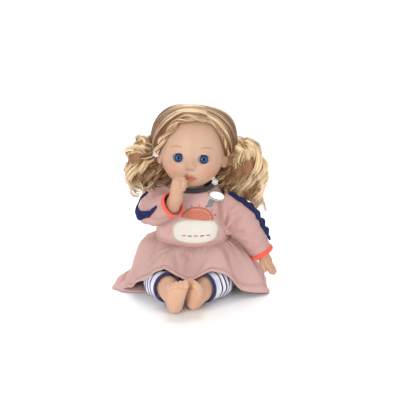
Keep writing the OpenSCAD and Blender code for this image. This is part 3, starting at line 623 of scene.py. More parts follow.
def lipDepths(x):
    # heights of the upper and lower lip above and below the mouth line
    span = np.clip(1 - (np.abs(x) / head["lipHalfWidth"]) ** 2, 0, 1)
    upper = 4.6 * span**0.75 * (1 - 0.3 * bell(x / 1.7)) + 0.5 * bell((np.abs(x) - 3.0) / 1.8) * span
    return upper, 5.4 * span**0.95


def mouthLine(x):
    return head["mouth"] + 0.5 * bell(x / 2.5) - 0.006 * np.square(x)


def lipValue(x, z):
    # above 0 on the lips, in mm from their edge
    upper, lower = lipDepths(x)
    above = z - mouthLine(x)
    return np.where(above > 0, upper - above, lower + above) - 3 * (np.abs(x) > head["lipHalfWidth"])


def faceRelief(x, z):
    gap, eyeZ = head["eyeGap"] / 2, head["eyeHeight"]
    both = lambda at, wide: bell((x - at) / wide) + bell((x + at) / wide)
    form = head["nose"] * bell(x / 7.0) * bell((z + 22.5) / 7) + 2 * bell(x / 6) * bell((z + 12) / 9)
    form += 4.5 * bell(x / 15) * bell((z + 41) / 9) + 4 * bell(x / 13) * bell((z + 51) / 6)
    form += 3 * both(25, 13) * bell((z + 30) / 12)
    form -= 2.2 * both(gap, 10) * bell((z - eyeZ) / 8)
    # nose wings and underside
    form += 2.0 * both(5.6, 2.3) * bell((z + 25.6) / 2.6) - 1.3 * bell(x / 6) * bell((z + 30.4) / 1.7)
    form -= 2.2 * both(2.9, 1.3) * bell((z + 28.2) / 1.1)  # nostrils
    form -= 0.9 * bell(x / 1.6) * bell((z + 32) / 2.6)  # groove under the nose
    u, v = (np.abs(x) - gap) / head["eyeOpening"][0], (z - eyeZ) / head["eyeOpening"][1]
    ring = np.maximum(np.hypot(u, v), 0.3)
    form += 2.8 * bell((ring - 1.05) / 0.3) * ease(-0.3, 0.9, u / ring)  # outer corners of the lids
    form += 0.9 * both(gap, 8.5) * bell((z - eyeZ - 9.6) / 2.0)  # lid folds
    form += 0.7 * both(gap, 8.5) * bell((z - eyeZ + 9.4) / 1.8)
    lip = np.clip(lipValue(x, z), 0, 2.4)
    form += 1.9 * (lip / 2.4) ** 0.6
    form -= 2.0 * bell((z - mouthLine(x)) / 0.85) * (np.abs(x) < head["lipHalfWidth"] + 0.5)
    form -= 0.8 * both(11.3, 1.5) * bell((z - head["mouth"] + 0.4) / 1.8)  # mouth corners
    form -= 0.9 * bell(x / 7) * bell((z + 47.6) / 1.5)  # hollow under the lower lip
    return form


def faceDepth(x, z):
    half, face, _ = headSections(z)
    return -face * np.sqrt(np.clip(1 - (x / half) ** 2, 0, 1)) - faceRelief(x, z)


def earMesh(sign):
    # a cupped oval with a rolled rim
    rows, spin = 15, 36
    angle = circle(spin)
    points = []
    for r in np.linspace(0, 1.25, rows):
        lift = (
            2.6 * bell((r - 0.86) / 0.2) - 1.4 * bell(r / 0.5)
            + 1.0 * bell((r - 0.5) / 0.14) * (np.sin(angle) > -0.5)
        )
        lift = lift * (0.75 + 0.25 * np.sin(angle)) - 5.0 * ease(0.95, 1.25, r)
        tall = head["ear"][1] * np.minimum(r, 1.06) * np.sin(angle)
        wide = head["ear"][0] * np.minimum(r, 1.06) * np.cos(angle) * (1 + 0.16 * np.sin(angle))
        points.append(np.stack([lift, wide, tall], axis=1))
    points = np.array(points).reshape(-1, 3)
    tilt = np.array(
        Matrix.Rotation(math.radians(-24 * sign), 3, "Z") @ Matrix.Rotation(math.radians(10), 3, "X")
    )
    points = points * (sign, 1, 1) @ tilt.T
    half = float(headSections(np.array(-13.0))[0])
    faces = gridFaces(rows, spin)
    out, y, z = head["earPlace"]
    return points + (sign * (half + out), y, z), faces if sign > 0 else [f[::-1] for f in faces]


def headGrid(rows=150, columns=230):
    # rows crowd to the chin and crown, and columns to the face
    z = chin + (crown - chin) * (1 - np.cos(np.linspace(0.012, 0.988, rows) * math.pi)) / 2
    u = np.linspace(-1, 1, columns, endpoint=False)
    angle = math.radians(270) + math.pi * np.sign(u) * np.abs(u) ** 1.28
    zz, aa = np.meshgrid(z, angle, indexing="ij")
    half, face, back = headSections(zz)
    x, s = half * np.cos(aa), np.sin(aa)
    y = np.where(s < 0, face * s - faceRelief(x, zz) * np.minimum(1, -2 * s), back * s)
    return np.stack([x, y, zz], axis=-1)


eye = {
    "gap": 35.4, "iris": 6.4, "pupil": 2.6, "outward": 4.0, "irisColours": ((14, 32, 84), (56, 96, 170)),
    "irisInner": (104, 148, 206), "irisEdge": (20, 30, 58), "white": (238, 236, 232), "bulge": 0.15,
    "black": (4, 4, 6),
    "lidRadius": 10.95, "lidEdge": 29.0, "lidTop": 148, "lidAcross": 80, "lidThickness": 0.25, "lidBand": 3.4,
    # the lid's colour is lighter than the face's skin, a painted light against the shade in the eye socket
    "lidGap": 0.3, "vinylGap": 0.35, "lashAcross": 62, "lid": (206, 164, 137), "lash": (40, 27, 23),
}
eyeDepth = -33.377  # the axle's place in the moulded shell


def openEye(body, sign):
    # an oval opening with a turned-in edge
    wide, tall = head["eyeOpening"]
    at = np.array([sign * head["eyeGap"] / 2, head["eyeHeight"]])
    turned = lambda v: np.array([(v.x - at[0]) / wide, (v.z - at[1]) / tall])
    middles = [(f, f.calc_center_median()) for f in body.faces]
    doomed = [f for f, middle in middles if middle.y < 0 and np.linalg.norm(turned(middle)) < 1]
    bmesh.ops.delete(body, geom=doomed, context="FACES")
    rim = [e for e in body.edges if e.is_boundary and np.linalg.norm(turned(e.verts[0].co)) < 1.6]
    for v in {v for e in rim for v in e.verts}:
        way = turned(v.co) / np.linalg.norm(turned(v.co))
        v.co.x, v.co.z = at[0] + wide * way[0], at[1] + tall * way[1]
        v.co.y = float(faceDepth(np.array(v.co.x), np.array(v.co.z)))
    ball = sign * eye["gap"] / 2
    for depth, scale in ((0.5, 0.99), (0.4, 0.99)):
        made = bmesh.ops.extrude_edge_only(body, edges=rim)["geom"]
        rim = [g for g in made if isinstance(g, bmesh.types.BMEdge) and g.is_boundary]
        for v in {g for g in made if isinstance(g, bmesh.types.BMVert)}:
            v.co.x, v.co.z = at[0] + (v.co.x - at[0]) * scale, at[1] + (v.co.z - at[1]) * scale
            v.co.y += depth
    for v in {v for e in rim for v in e.verts}:  # the inner edge ends just off the lid
        off = (v.co.x - ball) ** 2 + (v.co.z - at[1]) ** 2
        v.co.y = eyeDepth - math.sqrt(max(eye["lidRadius"] ** 2 - off, 1.0)) - eye["lidGap"]
    centre = Vector((ball, eyeDepth, at[1]))
    for v in body.verts:  # the vinyl stands clear of the lid all round
        out = v.co - centre
        if out.length < eye["lidRadius"] + eye["vinylGap"]:
            v.co = centre + out.normalized() * (eye["lidRadius"] + eye["vinylGap"])


def facePattern(tree):
    # skin, blush, lips, brows, painted eye rims and the painted shade under the nose from values stored on
    # the mesh
    skin = mixed(tree, attribute(tree, "blush"), paint(*head["skin"]), paint(*head["blush"]))
    streak = noise(tree, objectPlace(tree), 1500.0, 2.0)
    brow = calc(
        tree, "MULTIPLY", between(tree, attribute(tree, "brow"), -0.25, 0.35),
        between(tree, streak, 0.2, 0.75, 0.25, 0.8),
    )
    skin = mixed(tree, brow, skin, paint(*head["brow"]))
    lips = calc(tree, "MULTIPLY", between(tree, attribute(tree, "lip"), -0.35, 0.6), 0.88)
    skin = mixed(tree, lips, skin, paint(*head["lips"]))
    line = calc(tree, "MULTIPLY", between(tree, attribute(tree, "mouthLine"), 0.25, 0.9), 0.75)
    skin = mixed(tree, line, skin, paint(*head["mouthInside"]))
    rim = between(tree, attribute(tree, "eyeRimAndNoseShade"), 0.1, 0.9, 0.0, 0.85)
    return mixed(tree, rim, skin, paint(*head["eyeRimAndNoseShade"]))


def makeHead():
    material = vinylMaterial("paintedVinyl", head["skin"], facePattern)
    piece = addGrid("headShell", headGrid(), material, ends=True)
    body = bmesh.new()
    body.from_mesh(piece.data)
    bmesh.ops.scale(body, vec=(1 / mm,) * 3, verts=body.verts)
    for _, sign in sides:
        openEye(body, sign)
    bmesh.ops.scale(body, vec=(mm,) * 3, verts=body.verts)
    body.to_mesh(piece.data)
    body.free()
    local = vertsOf(piece)
    faces = [tuple(f.vertices) for f in piece.data.polygons]
    neckPath = [(0, head["neckBack"], z) for z in head["neckHeights"]]
    parts = [(headToWorld(local), faces)]
    for _, sign in sides:
        points, ear = earMesh(sign)
        local = np.concatenate([local, points])
        parts.append((headToWorld(points), ear))
    neck = tubeRings(neckPath, head["neckRadii"], (1, 0, 0), 48)
    parts.append((neck.reshape(-1, 3), gridFaces(len(neckPath), 48)))
    local = np.concatenate([local, np.full((neck.size // 3, 3), 90.0)])
    bpy.data.objects.remove(piece)
    piece = addPiece("headShell", *joinedMesh(parts), material)
    x, y, z = local.T
    onFace = y < -8
    gap, eyeZ = head["eyeGap"] / 2, head["eyeHeight"]
    setFloats(piece, "lip", np.where(onFace, lipValue(x, z), -9))
    setFloats(
        piece, "mouthLine",
        np.where(onFace, bell((z - mouthLine(x)) / 0.75) * (np.abs(x) < head["lipHalfWidth"] - 0.8), 0),
    )
    t = (np.abs(x) - 12.0) / 18.5
    browLine = eyeZ + 14.6 + 3.4 * np.sin(np.clip(t, 0, 1) * 2.5) - 2.0 * np.clip(t, 0, 1)
    browHalf = 1.1 * np.sqrt(np.clip(1 - (2 * np.clip(t, 0, 1) - 1) ** 4, 0, 1))
    setFloats(piece, "brow", np.where(onFace & (t > -0.05) & (t < 1.05), browHalf - np.abs(z - browLine), -2))
    warm = 0.75 * (bell((np.abs(x) - 27) / 11) * bell((z + 30) / 10)) + 0.5 * bell(x / 5) * bell((z + 24) / 4)
    warm += (
        0.35 * bell(x / 10) * bell((z + 52) / 5)
        + 0.5 * bell((np.abs(x) - 49) / 4) * bell((z + 14) / 11) * (y > -8)
    )
    setFloats(piece, "blush", np.clip(warm, 0, 1))
    wide, tall = head["eyeOpening"]
    ring = np.hypot((np.abs(x) - gap) / wide, (z - eyeZ) / tall)
    rim = (
        bell((ring - 0.99) / 0.07) * (0.45 + 0.55 * ease(-3, 5, z - eyeZ))
        * (0.3 + 0.7 * ease(-7.5, -3, np.abs(x) - gap))
    )
    # painted shade in the nostrils and under the nose
    rim += (
        0.6 * bell((np.abs(x) - 3.2) / 1.5) * bell((z + 28.6) / 1.0)
        + 0.24 * bell(x / 6) * bell((z + 29.8) / 1.5)
    )
    setFloats(piece, "eyeRimAndNoseShade", np.where(onFace, rim, 0))
    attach(piece, "head")
    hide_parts("head_shell")
    print("head is modelled")


# Eyes: balls, lids and lash bands on the tilting axle
def eyePattern(tree):
    radius = attribute(tree, "fromPupil")
    spoke = addNode(
        tree, "ShaderNodeCombineXYZ",
        {"X": attribute(tree, "turn"), "Y": calc(tree, "MULTIPLY", radius, 0.06)},
    )
    rays = noise(tree, spoke.outputs[0], 9.0, 4.0, 0.65)
    low, high = (paint(*c) for c in eye["irisColours"])
    iris = mixed(tree, between(tree, rays, 0.3, 0.7), low, high)
    iris = mixed(
        tree, between(tree, radius, eye["pupil"] + 0.1, eye["pupil"] + 1.6, 0.25, 0.0), iris,
        paint(*eye["irisInner"]),
    )
    limbus = between(tree, radius, eye["iris"] - 1.5, eye["iris"] - 0.2)
    iris = mixed(tree, limbus, iris, paint(*eye["irisEdge"]))
    ball = mixed(
        tree, between(tree, radius, eye["iris"] - 0.1, eye["iris"] + 0.35), iris, paint(*eye["white"])
    )
    pupil = between(tree, radius, eye["pupil"] - 0.25, eye["pupil"] + 0.15)
    return mixed(tree, pupil, paint(*eye["black"]), ball)


def lidPattern(tree):
    # a dark painted band along the lid's edge
    band = between(tree, attribute(tree, "fromEdge"), eye["lidBand"] - 0.5, eye["lidBand"] + 0.2)
    return mixed(tree, band, paint(*eye["lash"]), paint(*eye["lid"]))


def onLid(across, rise):
    # points of the lid from two angles
    return eye["lidRadius"] * np.stack(
        [np.sin(across), -np.cos(across) * np.cos(rise), np.cos(across) * np.sin(rise)], axis=-1
    )


def makeEyes():
    ballLook = mouldedMaterial(
        "glossyEye", (240, 238, 235), roughness=0.16, cloud=0.02, pattern=eyePattern, bump=0.00001,
        **{"Coat Weight": 0.2, "Coat Roughness": 0.03, "Specular IOR Level": 0.12},
    )
    lidLook = mouldedMaterial(
        "lidVinyl", eye["lid"], roughness=0.5, cloud=0.04, pattern=lidPattern, **vinylLook
    )
    lashLook = mouldedMaterial("lashFibre", eye["lash"], roughness=0.5, cloud=0.1)
    r, steps = head["eyeRadius"], 40
    lids, lashes, fromEdge = [], [], []
    for name, sign in sides:
        centre = np.array([sign * eye["gap"] / 2, eyeDepth, head["eyeHeight"]])
        polar = np.linspace(0.01, math.pi - 0.02, 46)
        turn = circle(64)
        pp, tt = np.meshgrid(polar, turn, indexing="ij")
        bulge = r + eye["bulge"] * bell(pp / 0.55)
        c, s = math.cos(math.radians(eye["outward"])), sign * math.sin(math.radians(eye["outward"]))
        side, ahead = np.sin(pp) * np.cos(tt), np.cos(pp)
        ball = (
            np.stack([side * c + ahead * s, side * s - ahead * c, np.sin(pp) * np.sin(tt)], axis=-1)
            * bulge[..., None]
        )
        piece = addGrid(name + "Eyeball", headToWorld(ball + centre), ballLook, ends=True)
        setFloats(piece, "fromPupil", np.append(pp.ravel() * r, [0, 30]))
        setFloats(piece, "turn", np.append(tt.ravel() / (2 * math.pi) * 6, [0, 0]))
        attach(piece, "eyes")
        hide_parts(name + "_eyeball")
        rise = np.radians(np.linspace(eye["lidEdge"], eye["lidTop"], 22))
        across = np.radians(np.linspace(-eye["lidAcross"], eye["lidAcross"], 30))
        aa, rr = np.meshgrid(across, rise, indexing="ij")
        lids.append((headToWorld(onLid(aa, rr) + centre).reshape(-1, 3), gridFaces(*aa.shape, False)))
        fromEdge.append(eye["lidRadius"] * (rr - rr.min()).ravel())
        span = np.radians(np.linspace(-eye["lashAcross"], eye["lashAcross"], steps))
        band = onLid(span, np.full(steps, math.radians(eye["lidEdge"]))) + centre
        hairs = 0.2 + 0.12 * np.abs(np.sin(np.linspace(0, 40, steps)))
        rings = tubeRings(band, hairs * np.sin(np.linspace(0.25, math.pi - 0.25, steps)), (0, -1, 0), 8)
        lashes.append((headToWorld(rings).reshape(-1, 3), gridFaces(steps, 8)))
    piece = addPiece("paintedLids", *joinedMesh(lids), lidLook)
    setFloats(piece, "fromEdge", np.concatenate(fromEdge))
    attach(thicken(piece, eye["lidThickness"]), "eyes")
    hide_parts("eyelids")
    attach(addPiece("lashBands", *joinedMesh(lashes), lashLook), "eyes")
    print("eyes are modelled")


makeHead()
makeEyes()


# Hair: a combed cap, two strands along the hairline and two bunches of curls
hair = {
    "lift": 5.0, "parting": (19.2, 10.0, 4.0, 0.0), "strands": 640, "strandWidth": 0.85,
    # mm that it stands up over the temples and the parting
    "volume": {"right": 12.5, "left": 13.0}, "topVolume": 4.2,
    "swell": {"right": (0.2, 0.74), "left": (0.06, 0.56)},  # where along a strand it rises
    "light": (248, 220, 176), "dark": (118, 64, 10), "root": (130, 92, 56),
    "tie": {"right": (-55.0, 12.0, 200.0), "left": (51.0, 13.0, 195.0)},
    "clumps": 72, "lockClumps": 4, "clumpStrands": 7, "clumpRadius": 3.2, "looseClumps": 8,
    "fineWidth": 0.68, "ribbonWidth": 2.6, "curl": 7.6, "turns": 3.2,
    # the inner locks are painted darker, a painted shade behind each bunch; the left bunch is painted lighter
    # than the right, a painted light
    "bunchTone": {"right": 1.1, "left": 1.6}, "innerPaintedShadeTone": 0.4, "innerShare": 0.55, "coreShare": 0.66,
    "bunchTop": (0, 0, 0.160), "bunchFoot": (0, 0, 0.104),  # m
}
hairline = {  # the edge of the hair on the head, across and up, from just over the parting to the ear
    "right": [
        (21.3, 38.2), (4, 40), (-15.5, 37.5), (-23, 30), (-30, 22.5), (-36.5, 12.5), (-43, 2), (-47, -8)
    ],
    "left": [(17.7, 39.0), (27, 34.5), (33, 28), (38, 20), (42, 11), (45.5, 1), (47, -5)],
}
bunches = {  # middle lines in mm, from the tie, with their radii
    "right": (
        [(-53, 12, 200), (-67, 14, 209), (-78, 15, 198), (-84, 17, 177), (-82, 20, 152), (-77, 22, 124)],
        (4, 13, 22, 26, 25, 15),
    ),
    "rightInner": ([(-54, 14, 196), (-52, 18, 178), (-47, 22, 160), (-56, 26, 139)], (5, 13, 15, 10)),
    "left": (
        [
            (51, 13, 195), (67, 14, 207), (80, 15, 200), (86, 17, 178), (84, 20, 153), (83, 24, 129),
            (95, 30, 105),
        ],
        (4, 13, 22, 26, 25, 20, 12),
    ),
    "leftInner": (
        [(48, 15, 190), (47, 18, 172), (44, 22, 156), (50, 26, 138), (66, 30, 124)], (5, 13, 15, 14, 8)
    ),
}
bobbles = {"right": (-53.5, -6.0, 200.0), "left": (33.5, -4.0, 158.5), "petal": 3.4, "petalRadius": 1.9}
pearl = (222, 219, 216)


def sideName(sign):
    return "right" if sign < 0 else "left"


def worldToHead(points):
    return (np.asarray(points, float) - np.array(head["centre"])) @ headTurn


def onScalp(ways, off):
    # points of the head's surface, grown by off, along ways from the middle
    ways = unit(ways)
    low, high = np.full(ways.shape[:-1], 10.0), np.full(ways.shape[:-1], 100.0)
    off = np.broadcast_to(off, low.shape)
    for _ in range(24):
        middle = (low + high) / 2
        p = ways * middle[..., None]
        z = widest + (p[..., 2] - widest) / (1 + off / (crown - widest))
        half, face, back = headSections(np.clip(z, chin + 0.01, crown - 0.01))
        deep = np.where(p[..., 1] < 0, face, back) + off
        inside = (
            (np.square(p[..., 0] / (half + off)) + np.square(p[..., 1] / deep) < 1) & (z < crown) & (z > chin)
        )
        low, high = np.where(inside, middle, low), np.where(inside, high, middle)
    return ways * low[..., None]


def hairlineWays(sign, count):
    # directions along the edge of the hair, from the parting to the tie
    x, _, z = curveThrough([(x, 0, z) for x, z in hairline[sideName(sign)]], 60).T
    half, face, _ = headSections(z)
    y = -face * np.sqrt(np.clip(1 - (x / half) ** 2, 0.02, 1))
    tie = worldToHead(hair["tie"][sideName(sign)])
    line = np.concatenate([np.stack([x, y, z], axis=1), [tie]])
    return unit(evenly(line, count))


def combed(sign, share, run, off):
    # hair from the parting to the tie: share 0 at the hairline, 1 at the nape; run 0 to 1 along the strand
    share, run = np.broadcast_arrays(np.asarray(share, float), np.asarray(run, float))
    angle = np.radians(44 + 176 * share)
    # each side starts a little across the parting
    part = np.interp(share, (0, 0.25, 0.5, 1), hair["parting"]) - 1.8 * sign
    start = unit(np.stack([part / 56, -np.cos(angle), np.sin(angle)], axis=-1))
    tie = worldToHead(hair["tie"][sideName(sign)])
    end = unit(np.broadcast_to(tie, start.shape))
    turn = np.arccos(np.clip((start * end).sum(-1), -1, 1))[..., None]
    t = run[..., None]
    arc = (np.sin((1 - t) * turn) * start + np.sin(t * turn) * end) / np.sin(turn)
    guide = hairlineWays(sign, 80)
    at = np.clip(run * 79, 0, 78.999)
    i = at.astype(int)
    edge = guide[i] + (guide[i + 1] - guide[i]) * (at - i)[..., None]
    ways = unit(edge + (arc - edge) * ease(0.0, 0.42, share)[..., None])
    scalp = onScalp(ways, off)
    return scalp + (tie - scalp) * (ease(0.8, 1.0, run) * 0.92)[..., None]


def hairLift(sign, share, run):
    # how far the hair stands off the scalp
    side, top = sideName(sign), hair["topVolume"]
    full = top + (hair["volume"][side] - top) * ease(*hair["swell"][side], run) * ease(1.1, 0.75, run)
    return hair["lift"] + full * ease(0.01, 0.34, share) * ease(1.25, 0.7, share)


def hairPattern(tree, paintedLightAndShade):
    # streaks run along each lock, which has a tone of its own; the given pair is painted light and shade that
    # it gains at root and end
    tone, reach = attribute(tree, "tone"), attribute(tree, "reach")
    along = addNode(
        tree, "ShaderNodeCombineXYZ",
        {
            "X": calc(tree, "MULTIPLY", attribute(tree, "around"), 2.4),
            "Y": calc(tree, "MULTIPLY", reach, 1.6), "Z": calc(tree, "MULTIPLY", tone, 40.0),
        },
    )
    streak = noise(tree, along.outputs[0], 2.6, 4.0, 0.7)
    shade = calc(tree, "ADD", calc(tree, "MULTIPLY", tone, 0.6), calc(tree, "MULTIPLY", streak, 0.62))
    shade = calc(tree, "ADD", shade, between(tree, reach, 0.12, 0.75, *paintedLightAndShade))
    colour = mixed(tree, between(tree, shade, 0.28, 0.98), paint(*hair["dark"]), paint(*hair["light"]))
    return mixed(tree, between(tree, reach, 0.0, 0.04, 0.15, 0.0), colour, paint(*hair["root"]))


def hairMaterial(name, roughness, gloss, paintedLightAndShade):
    return mouldedMaterial(
        name, hair["light"], roughness=roughness, cloud=0.12, scale=1200.0,
        pattern=lambda tree: hairPattern(tree, paintedLightAndShade), bump=0.00015,
        **{"Specular IOR Level": gloss, "Coat Weight": gloss * 0.25, "Coat Roughness": 0.18},
    )


def makeScalpHair(look):
    parts, reach = [], []
    rows, columns = 60, 40
    for _, sign in sides:
        share, run = np.meshgrid(np.linspace(0, 1, rows), np.linspace(0, 1, columns), indexing="ij")
        sheet = headToWorld(
            combed(sign, share, run, hairLift(sign, share, run) - 1.6 - 2.4 * bell(share / 0.035))
        )
        faces = gridFaces(rows, columns, False)
        parts.append((sheet.reshape(-1, 3), faces if sign < 0 else [f[::-1] for f in faces]))
        reach.append(run.ravel())
    cap = addPiece("hairCap", *joinedMesh(parts), look)
    setFloats(cap, "tone", np.full(len(cap.data.vertices), 0.1))
    setFloats(cap, "reach", np.concatenate(reach))
    setFloats(cap, "around", np.sin(np.arange(len(cap.data.vertices)) // columns * 2.3))
    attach(cap, "head")
    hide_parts("hair_cap")
    count, points = hair["strands"], 22
    for name, sign in sides:
        share = np.clip((np.arange(count) + rng.uniform(-0.6, 0.6, count)) / count, 0, 1) ** 1.12
        run = np.linspace(0, 1, points)
        lift = (
            hairLift(sign, share[:, None], run) + rng.uniform(-1.2, 0.6, count)[:, None]
            - 0.4 * bell(run / 0.03)[None]
        )
        drift = 0.006 * np.sin(run * 7 + rng.uniform(0, 6, count)[:, None]) * np.sin(run * math.pi)
        local = combed(
            sign, np.clip(share[:, None] + drift, 0, 1), np.broadcast_to(run, (count, points)), lift
        )
        paths = headToWorld(local)
        widths = (
            hair["strandWidth"] * rng.uniform(0.6, 1.35, count)[:, None]
            * (0.55 + 0.45 * np.sin(run * math.pi))[None]
        )
        widths = widths * (1 + 0.9 * ease(0.2, 0.9, share))[:, None]
        tones = 0.42 + 0.5 * np.sin(share * 67 + sign) * np.sin(share * 29) + rng.normal(0, 0.22, count)
        piece = addTubes(
            name + "Combed", paths, widths, headWays(unit(local)), np.clip(tones, 0, 1), look, flat=0.55,
            spin=4,
        )
        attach(piece, "head")
    print("scalp hair is combed")


def ropePath(centre, radius, turns, phase):
    # a line that winds round a centre line
    along = unit(np.gradient(centre, axis=0))
    side = unit(np.cross(along, (0.2, 1.0, 0.1)))
    other = np.cross(along, side)
    t = np.linspace(0, 1, len(centre))
    angle = 2 * math.pi * turns * t + phase
    return centre + radius[:, None] * (np.cos(angle)[:, None] * side + np.sin(angle)[:, None] * other)


def makeHairlineStrands(look):
    plans = (
        ("right", -1, 2, 3.3, 2.4, 0.85, 14, (0.02, 0.94)),
        ("left", 1, 3, 1.05, 7.0, 0.6, 6, (0.05, 0.8)),
    )
    paths, widths, tones = [], [], []
    points = 70
    for name, sign, ropes, radius, turns, strand, count, ends in plans:
        run = np.linspace(*ends, 40)
        edge = np.full(40, 0.045 if sign < 0 else 0.02)
        centre = headToWorld(combed(sign, edge, run, hairLift(sign, np.full(40, 0.05), run) + 1.0))
        behind = [(47, 15, 191), (44, 18, 177), (40, 9, 166)] if sign > 0 else []
        centre = evenly(curveThrough(np.concatenate([centre[::4], behind + [bobbles[name]]]), 120), points)
        taper = np.interp(np.linspace(0, 1, points), [0, 0.15, 0.75, 1], [0.5, 1.15, 0.95, 0.5])
        for k in range(ropes):
            rope = ropePath(centre, radius * taper, turns, 2 * math.pi * k / ropes)
            for j in range(count):
                line = ropePath(
                    rope, radius * 0.62 * taper * math.sqrt((j + 0.5) / count), turns * 0.6, 2.4 * j
                )
                paths.append(line)
                widths.append(strand * taper)
                tones.append(rng.uniform(0.1, 0.85))
    paths = np.array(paths)
    outward = paths - np.array(head["centre"])
    piece = addTubes("hairlineStrands", paths, np.array(widths), outward, tones, look, flat=0.8)
    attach(piece, "head")
    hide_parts("hair_strands")


def bunchClumps(line, radii, clumps, dice, light, points=40):
    # fine strands in clumps: a few clumps share one ringlet, which winds down through the bunch from its tie
    steps = 60
    centre = curveThrough(line, steps)
    radius = np.interp(np.linspace(0, 1, steps), np.linspace(0, 1, len(radii)), radii)
    paths, outward, widths, tones = [], [], [], []
    for k in range(clumps):
        if k % hair["lockClumps"] == 0:
            stop, depth = dice.uniform(0.86, 1.0), math.sqrt(dice.uniform(0.25, 1.0))
            facing, phase = 2 * math.pi * 0.618 * k / hair["lockClumps"], dice.uniform(0, 6.3)
            turns, curl = (
                hair["turns"] * dice.uniform(0.85, 1.2) * stop, hair["curl"] * dice.uniform(0.8, 1.15)
            )
            lockTone = light * dice.uniform(0.25, 0.85)
        loose = k >= clumps - hair["looseClumps"]
        t = np.linspace(0, stop, points)
        at = t * (steps - 1)
        mid = np.stack([np.interp(at, np.arange(steps), centre[:, c]) for c in range(3)], axis=1)
        reach = np.maximum(np.interp(at, np.arange(steps), radius) - 0.55 * hair["curl"], 1.5) * depth
        angle = facing + 0.5 * np.sin(t * 3 + facing)
        lock = (
            mid
            + reach[:, None] * np.stack(
                [np.cos(angle), 0.86 * np.sin(angle), 0.4 * np.cos(angle * 0.5 + facing)], axis=1
            )
        )
        lock = lock + dice.normal(0, 2.4, 3) * ease(0.0, 0.2, t)[:, None]
        tone = lockTone + dice.normal(0, 0.12)
        taper = np.interp(t / stop, [0, 0.1, 0.75, 1], [0.5, 1, 0.9, 0.2])
        for j in range(hair["clumpStrands"] + 1):
            own = curl * ease(0.0, 0.2, t) * dice.normal(1.0, 0.1)
            line = ropePath(lock, own, turns, phase + dice.normal(0, 0.3 if j else 0.1))
            spread = (
                hair["clumpRadius"] * math.sqrt(j / hair["clumpStrands"]) * (1 - 0.35 * t / stop)
                * ease(-0.05, 0.2, t)
            )
            paths.append(ropePath(line, spread * (2.4 if loose else 1.0), 0.6, 2.4 * j))
            outward.append(paths[-1] - mid + (0, 0, 6.0))
            thick = hair["fineWidth"] if j or loose else hair["ribbonWidth"]
            widths.append(thick * dice.uniform(0.7, 1.3) * taper)
            tones.append(np.clip(tone + dice.normal(0, 0.2), 0, 1))
    return np.array(paths), np.array(outward), np.array(widths), np.array(tones)


def makeBunch(name, sign, look, coreLookPaintedShade):
    bones, pieces = [], []
    dice = np.random.default_rng(21 + sign)
    middles = []
    for key, share, light in (
        (name, 1.0, hair["bunchTone"][name]), (name + "Inner", hair["innerShare"], hair["innerPaintedShadeTone"]),
    ):
        line, radii = bunches[key]
        centre = curveThrough(line, 24)
        middles.append(centre)
        radius = np.interp(np.linspace(0, 1, 24), np.linspace(0, 1, len(radii)), radii)
        radius *= hair["coreShare"] * np.interp(np.arange(24), [0, 14, 20, 23], [1, 1, 0.5, 0.2])
        bones += [(centre[i], centre[i + 1], radius[i], radius[i + 1]) for i in range(1, 19)]
        paths, outward, widths, tones = bunchClumps(line, radii, int(hair["clumps"] * share), dice, light)
        pieces.append(addTubes(key + "Curls", paths, widths, outward, tones, look, flat=0.5, spin=3))
    tie = np.array(hair["tie"][name])
    bones.append((tie + (-9 * sign, 2, -3), tie + (4 * sign, 0, 0), 8.0, 6.5))
    bones.append((tie + (-4 * sign, 3, -8), tie + (0, 6, -30), 8.0, 11.0))
    bridge = (middles[0] + middles[1]) / 2
    bones += [(bridge[i], bridge[i + 1], 8.5, 8.5) for i in range(5, 16)]
    core = softForm(name + "BunchCore", bones, coreLookPaintedShade, voxel=3.0, smoothing=3)
    points = vertsOf(core)
    turn = np.arctan2(points[:, 1] - 18, points[:, 0] - bunches[name][0][3][0])
    # the core is painted dark, a painted shade seen through the gaps between the curls
    setFloats(core, "tone", np.full(len(points), 0.2))
    setFloats(core, "reach", (210 - points[:, 2]) / 110)
    setFloats(core, "around", np.sin(turn * 9 + 0.25 * np.sin(points[:, 2] / 6)))
    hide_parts(name + "_pigtail")
    for piece in (core, *pieces):
        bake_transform(piece)
    print(name, "bunch of curls is set")


def makeBobbles():
    look = mouldedMaterial(
        "pearlBead", pearl, roughness=0.2, cloud=0.05,
        **{"Coat Weight": 0.6, "Coat Roughness": 0.08},
    )
    bones = []
    for name, _ in sides:
        centre = np.array(bobbles[name])
        bones.append((centre, centre + (0, 0.4, 0), 2.6, 2.6))
        for k in range(6):
            a, r = 2 * math.pi * k / 6 + 0.3, bobbles["petalRadius"]
            petal = centre + bobbles["petal"] * np.array([math.cos(a), -0.35, math.sin(a)])
            bones.append((petal, petal + 0.3 * np.array([math.cos(a), 0, math.sin(a)]), r, r - 0.1))
    piece = softForm("flowerBobbles", bones, look, voxel=0.45, smoothing=2)
    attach(piece, "head")
    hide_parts("bobbles")


def makeHair():
    # the combed hair is painted lighter near the parting and darker towards the tie, a painted highlight and
    # a painted shade
    combedLook = hairMaterial("rootedHair", 0.3, 0.8, (0.06, -0.34))
    curlLook = hairMaterial("curledHair", 0.3, 0.6, (-0.06, 0.06))
    coreLookPaintedShade = hairMaterial("coreHairPaintedShade", 0.6, 0.4, (0.0, 0.0))
    makeScalpHair(combedLook)
    makeHairlineStrands(curlLook)
    for name, sign in sides:
        makeBunch(name, sign, curlLook, coreLookPaintedShade)
    makeBobbles()


makeHair()


